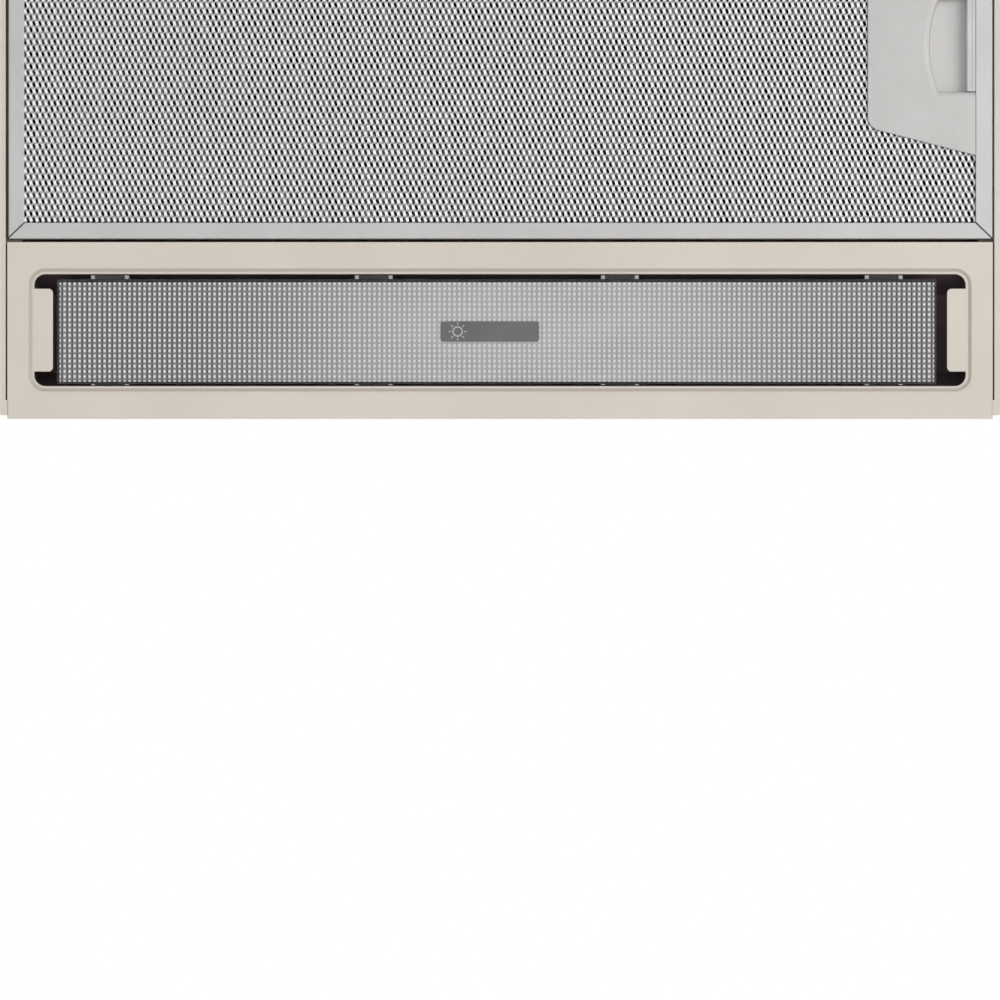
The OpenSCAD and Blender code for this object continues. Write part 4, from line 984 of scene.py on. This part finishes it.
def bulb(side, sign):
    """A tubular bulb: a threaded metal base and a frosted glass envelope."""
    low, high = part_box("bulb_" + side)
    radius = (high[2] - low[2]) / 2
    place = (0, (low[1] + high[1]) / 2, (low[2] + high[2]) / 2)
    start = min(abs(low[0]), abs(high[0]))
    end = max(abs(low[0]), abs(high[0]))
    base_l, base_r = 23 * MM, 6.8 * MM
    neck = start + base_l
    glass = [(neck, base_r), (neck + 1 * MM, base_r + 0.4 * MM), (neck + 4 * MM, radius * 0.93),
             (neck + 6 * MM, radius), (end - radius, radius)]
    tip_r = 1e-5  # the last ring isn't quite a point
    for sine, cosine in quarter(8)[1:]:
        glass.append((end - radius + radius * sine, max(radius * cosine, tip_r)))
    thread = [(start, 0.1 * MM), (start, 3 * MM), (start + 1.5 * MM, base_r - 1 * MM)]
    turns, pitch = 6, 2.8 * MM
    root, crest = base_r - 0.7 * MM, base_r - 0.1 * MM
    for turn in range(turns):
        at = start + 2.5 * MM + turn * pitch
        thread += [(at, root), (at + pitch * 0.3, crest), (at + pitch * 0.6, crest),
                   (at + pitch * 0.9, root)]
    thread += [(neck - 0.5 * MM, base_r - 0.2 * MM), (neck + 0.2 * MM, base_r - 0.2 * MM)]
    for name, profile, material in (("glass", glass, frosted.material),
                                    ("base", thread, bright_steel)):
        mesh = lathe(f"bulb_{side}_{name}", [(sign * a, r) for a, r in profile], place)
        piece = link_mesh(f"bulb_{side}_{name}", mesh, material, "hood")
        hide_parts("bulb_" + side)


bulb("left", -1)
bulb("right", 1)


# ---------------------------------------------------------------- floor, lights, camera

def floor_material():
    """Pale under the hood, fading into the backdrop; open from below and for shadows."""
    made = Finish("floor", (0.86, 0.86, 0.855), 0.7)
    made.tint(made.noise(3, 3), (0.84, 0.84, 0.835))
    side = made.add("ShaderNodeNewGeometry")
    path = made.add("ShaderNodeLightPath")
    fade_from, fade_to = 0.8, 2.2  # metres from the middle
    far = made.spread(made.vector("LENGTH", made.space()), fade_from, fade_to, smooth=True)
    opened = made.math("MAXIMUM", side.outputs["Backfacing"], path.outputs["Is Shadow Ray"])
    opened = made.math("MAXIMUM", opened, far)
    open_shader = made.add("ShaderNodeBsdfTransparent")
    mix = made.add("ShaderNodeMixShader")
    made.link(opened, mix.inputs[0])
    made.link(made.shader.outputs[0], mix.inputs[1])
    made.link(open_shader.outputs[0], mix.inputs[2])
    output = made.tree.nodes["Material Output"]
    made.link(mix.outputs[0], output.inputs["Surface"])
    return made.material


below_hood, half_floor = 0.26, 4.0
floor_z = cad_low[2] - below_hood
floor_mesh = mesh_of("floor", [(x * half_floor, y * half_floor, floor_z)
                               for x, y in ((-1, -1), (1, -1), (1, 1), (-1, 1))],
                     [(0, 1, 2, 3)])
floor_mesh.materials.append(floor_material())
floor = bpy.data.objects.new("floor", floor_mesh)
bpy.context.scene.collection.objects.link(floor)


def area_light(name, place, aim, size, watts):
    """A round lamp that the camera doesn't see."""
    data = bpy.data.lights.new(name, "AREA")
    data.shape = "DISK"
    data.size = size
    data.energy = watts
    lamp = bpy.data.objects.new(name, data)
    lamp.location = place
    lamp.rotation_mode = "QUATERNION"
    lamp.rotation_quaternion = (Vector(aim) - Vector(place)).to_track_quat("-Z", "Y")
    lamp.visible_camera = False
    bpy.context.scene.collection.objects.link(lamp)


UNDERSIDE, TOP = (0, -0.2, -0.13), (0, -0.1, 0)
area_light("under_key", (-1.4, 0.1, -1.4), UNDERSIDE, 1.3, 11.5)
area_light("under_fill", (-0.4, -0.6, -1.8), UNDERSIDE, 2.8, 10.7)
area_light("over_key", (-1.2, -1.8, 1.6), TOP, 2.4, 26)
area_light("over_fill", (1.6, -0.6, 1.3), TOP, 2.2, 13)
area_light("over_back", (0.3, 1.9, 1.2), TOP, 2.2, 13)


def background():
    """White where it is seen, mirrored or seen through; softer as a light."""
    as_light, as_seen = 0.35, 1.0
    world = bpy.data.worlds.new("studio")
    world.use_nodes = True
    tree = world.node_tree
    path = tree.nodes.new("ShaderNodeLightPath")
    seen = path.outputs["Is Camera Ray"]
    for kind in ("Is Glossy Ray", "Is Transmission Ray"):
        either = tree.nodes.new("ShaderNodeMath")
        either.operation = "MAXIMUM"
        tree.links.new(seen, either.inputs[0])
        tree.links.new(path.outputs[kind], either.inputs[1])
        seen = either.outputs[0]
    level = tree.nodes.new("ShaderNodeMapRange")
    level.inputs["To Min"].default_value = as_light
    level.inputs["To Max"].default_value = as_seen
    tree.links.new(seen, level.inputs["Value"])
    shader = tree.nodes["Background"]
    shader.inputs["Color"].default_value = (1, 1, 1, 1)
    tree.links.new(level.outputs["Result"], shader.inputs["Strength"])
    bpy.context.scene.world = world


background()
bpy.context.scene.view_settings.view_transform = "Standard"

# straight up from below, with the hood's width across the picture and its front edge a
# little above the middle
panel_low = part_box("front_panel")[0]
width = 2 * abs(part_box("side_wall_left")[0][0])
distance, above_middle = 1.5, 0.081  # metres, and a share of the width
camera_data = bpy.data.cameras.new("camera")
camera_data.sensor_width = 36
camera_data.lens = camera_data.sensor_width * distance / width
camera = bpy.data.objects.new("camera", camera_data)
camera.location = (0, panel_low[1] - above_middle * width, panel_low[2] - distance)
camera.rotation_euler = (0, math.pi, 0)
bpy.context.scene.collection.objects.link(camera)
bpy.context.scene.camera = camera
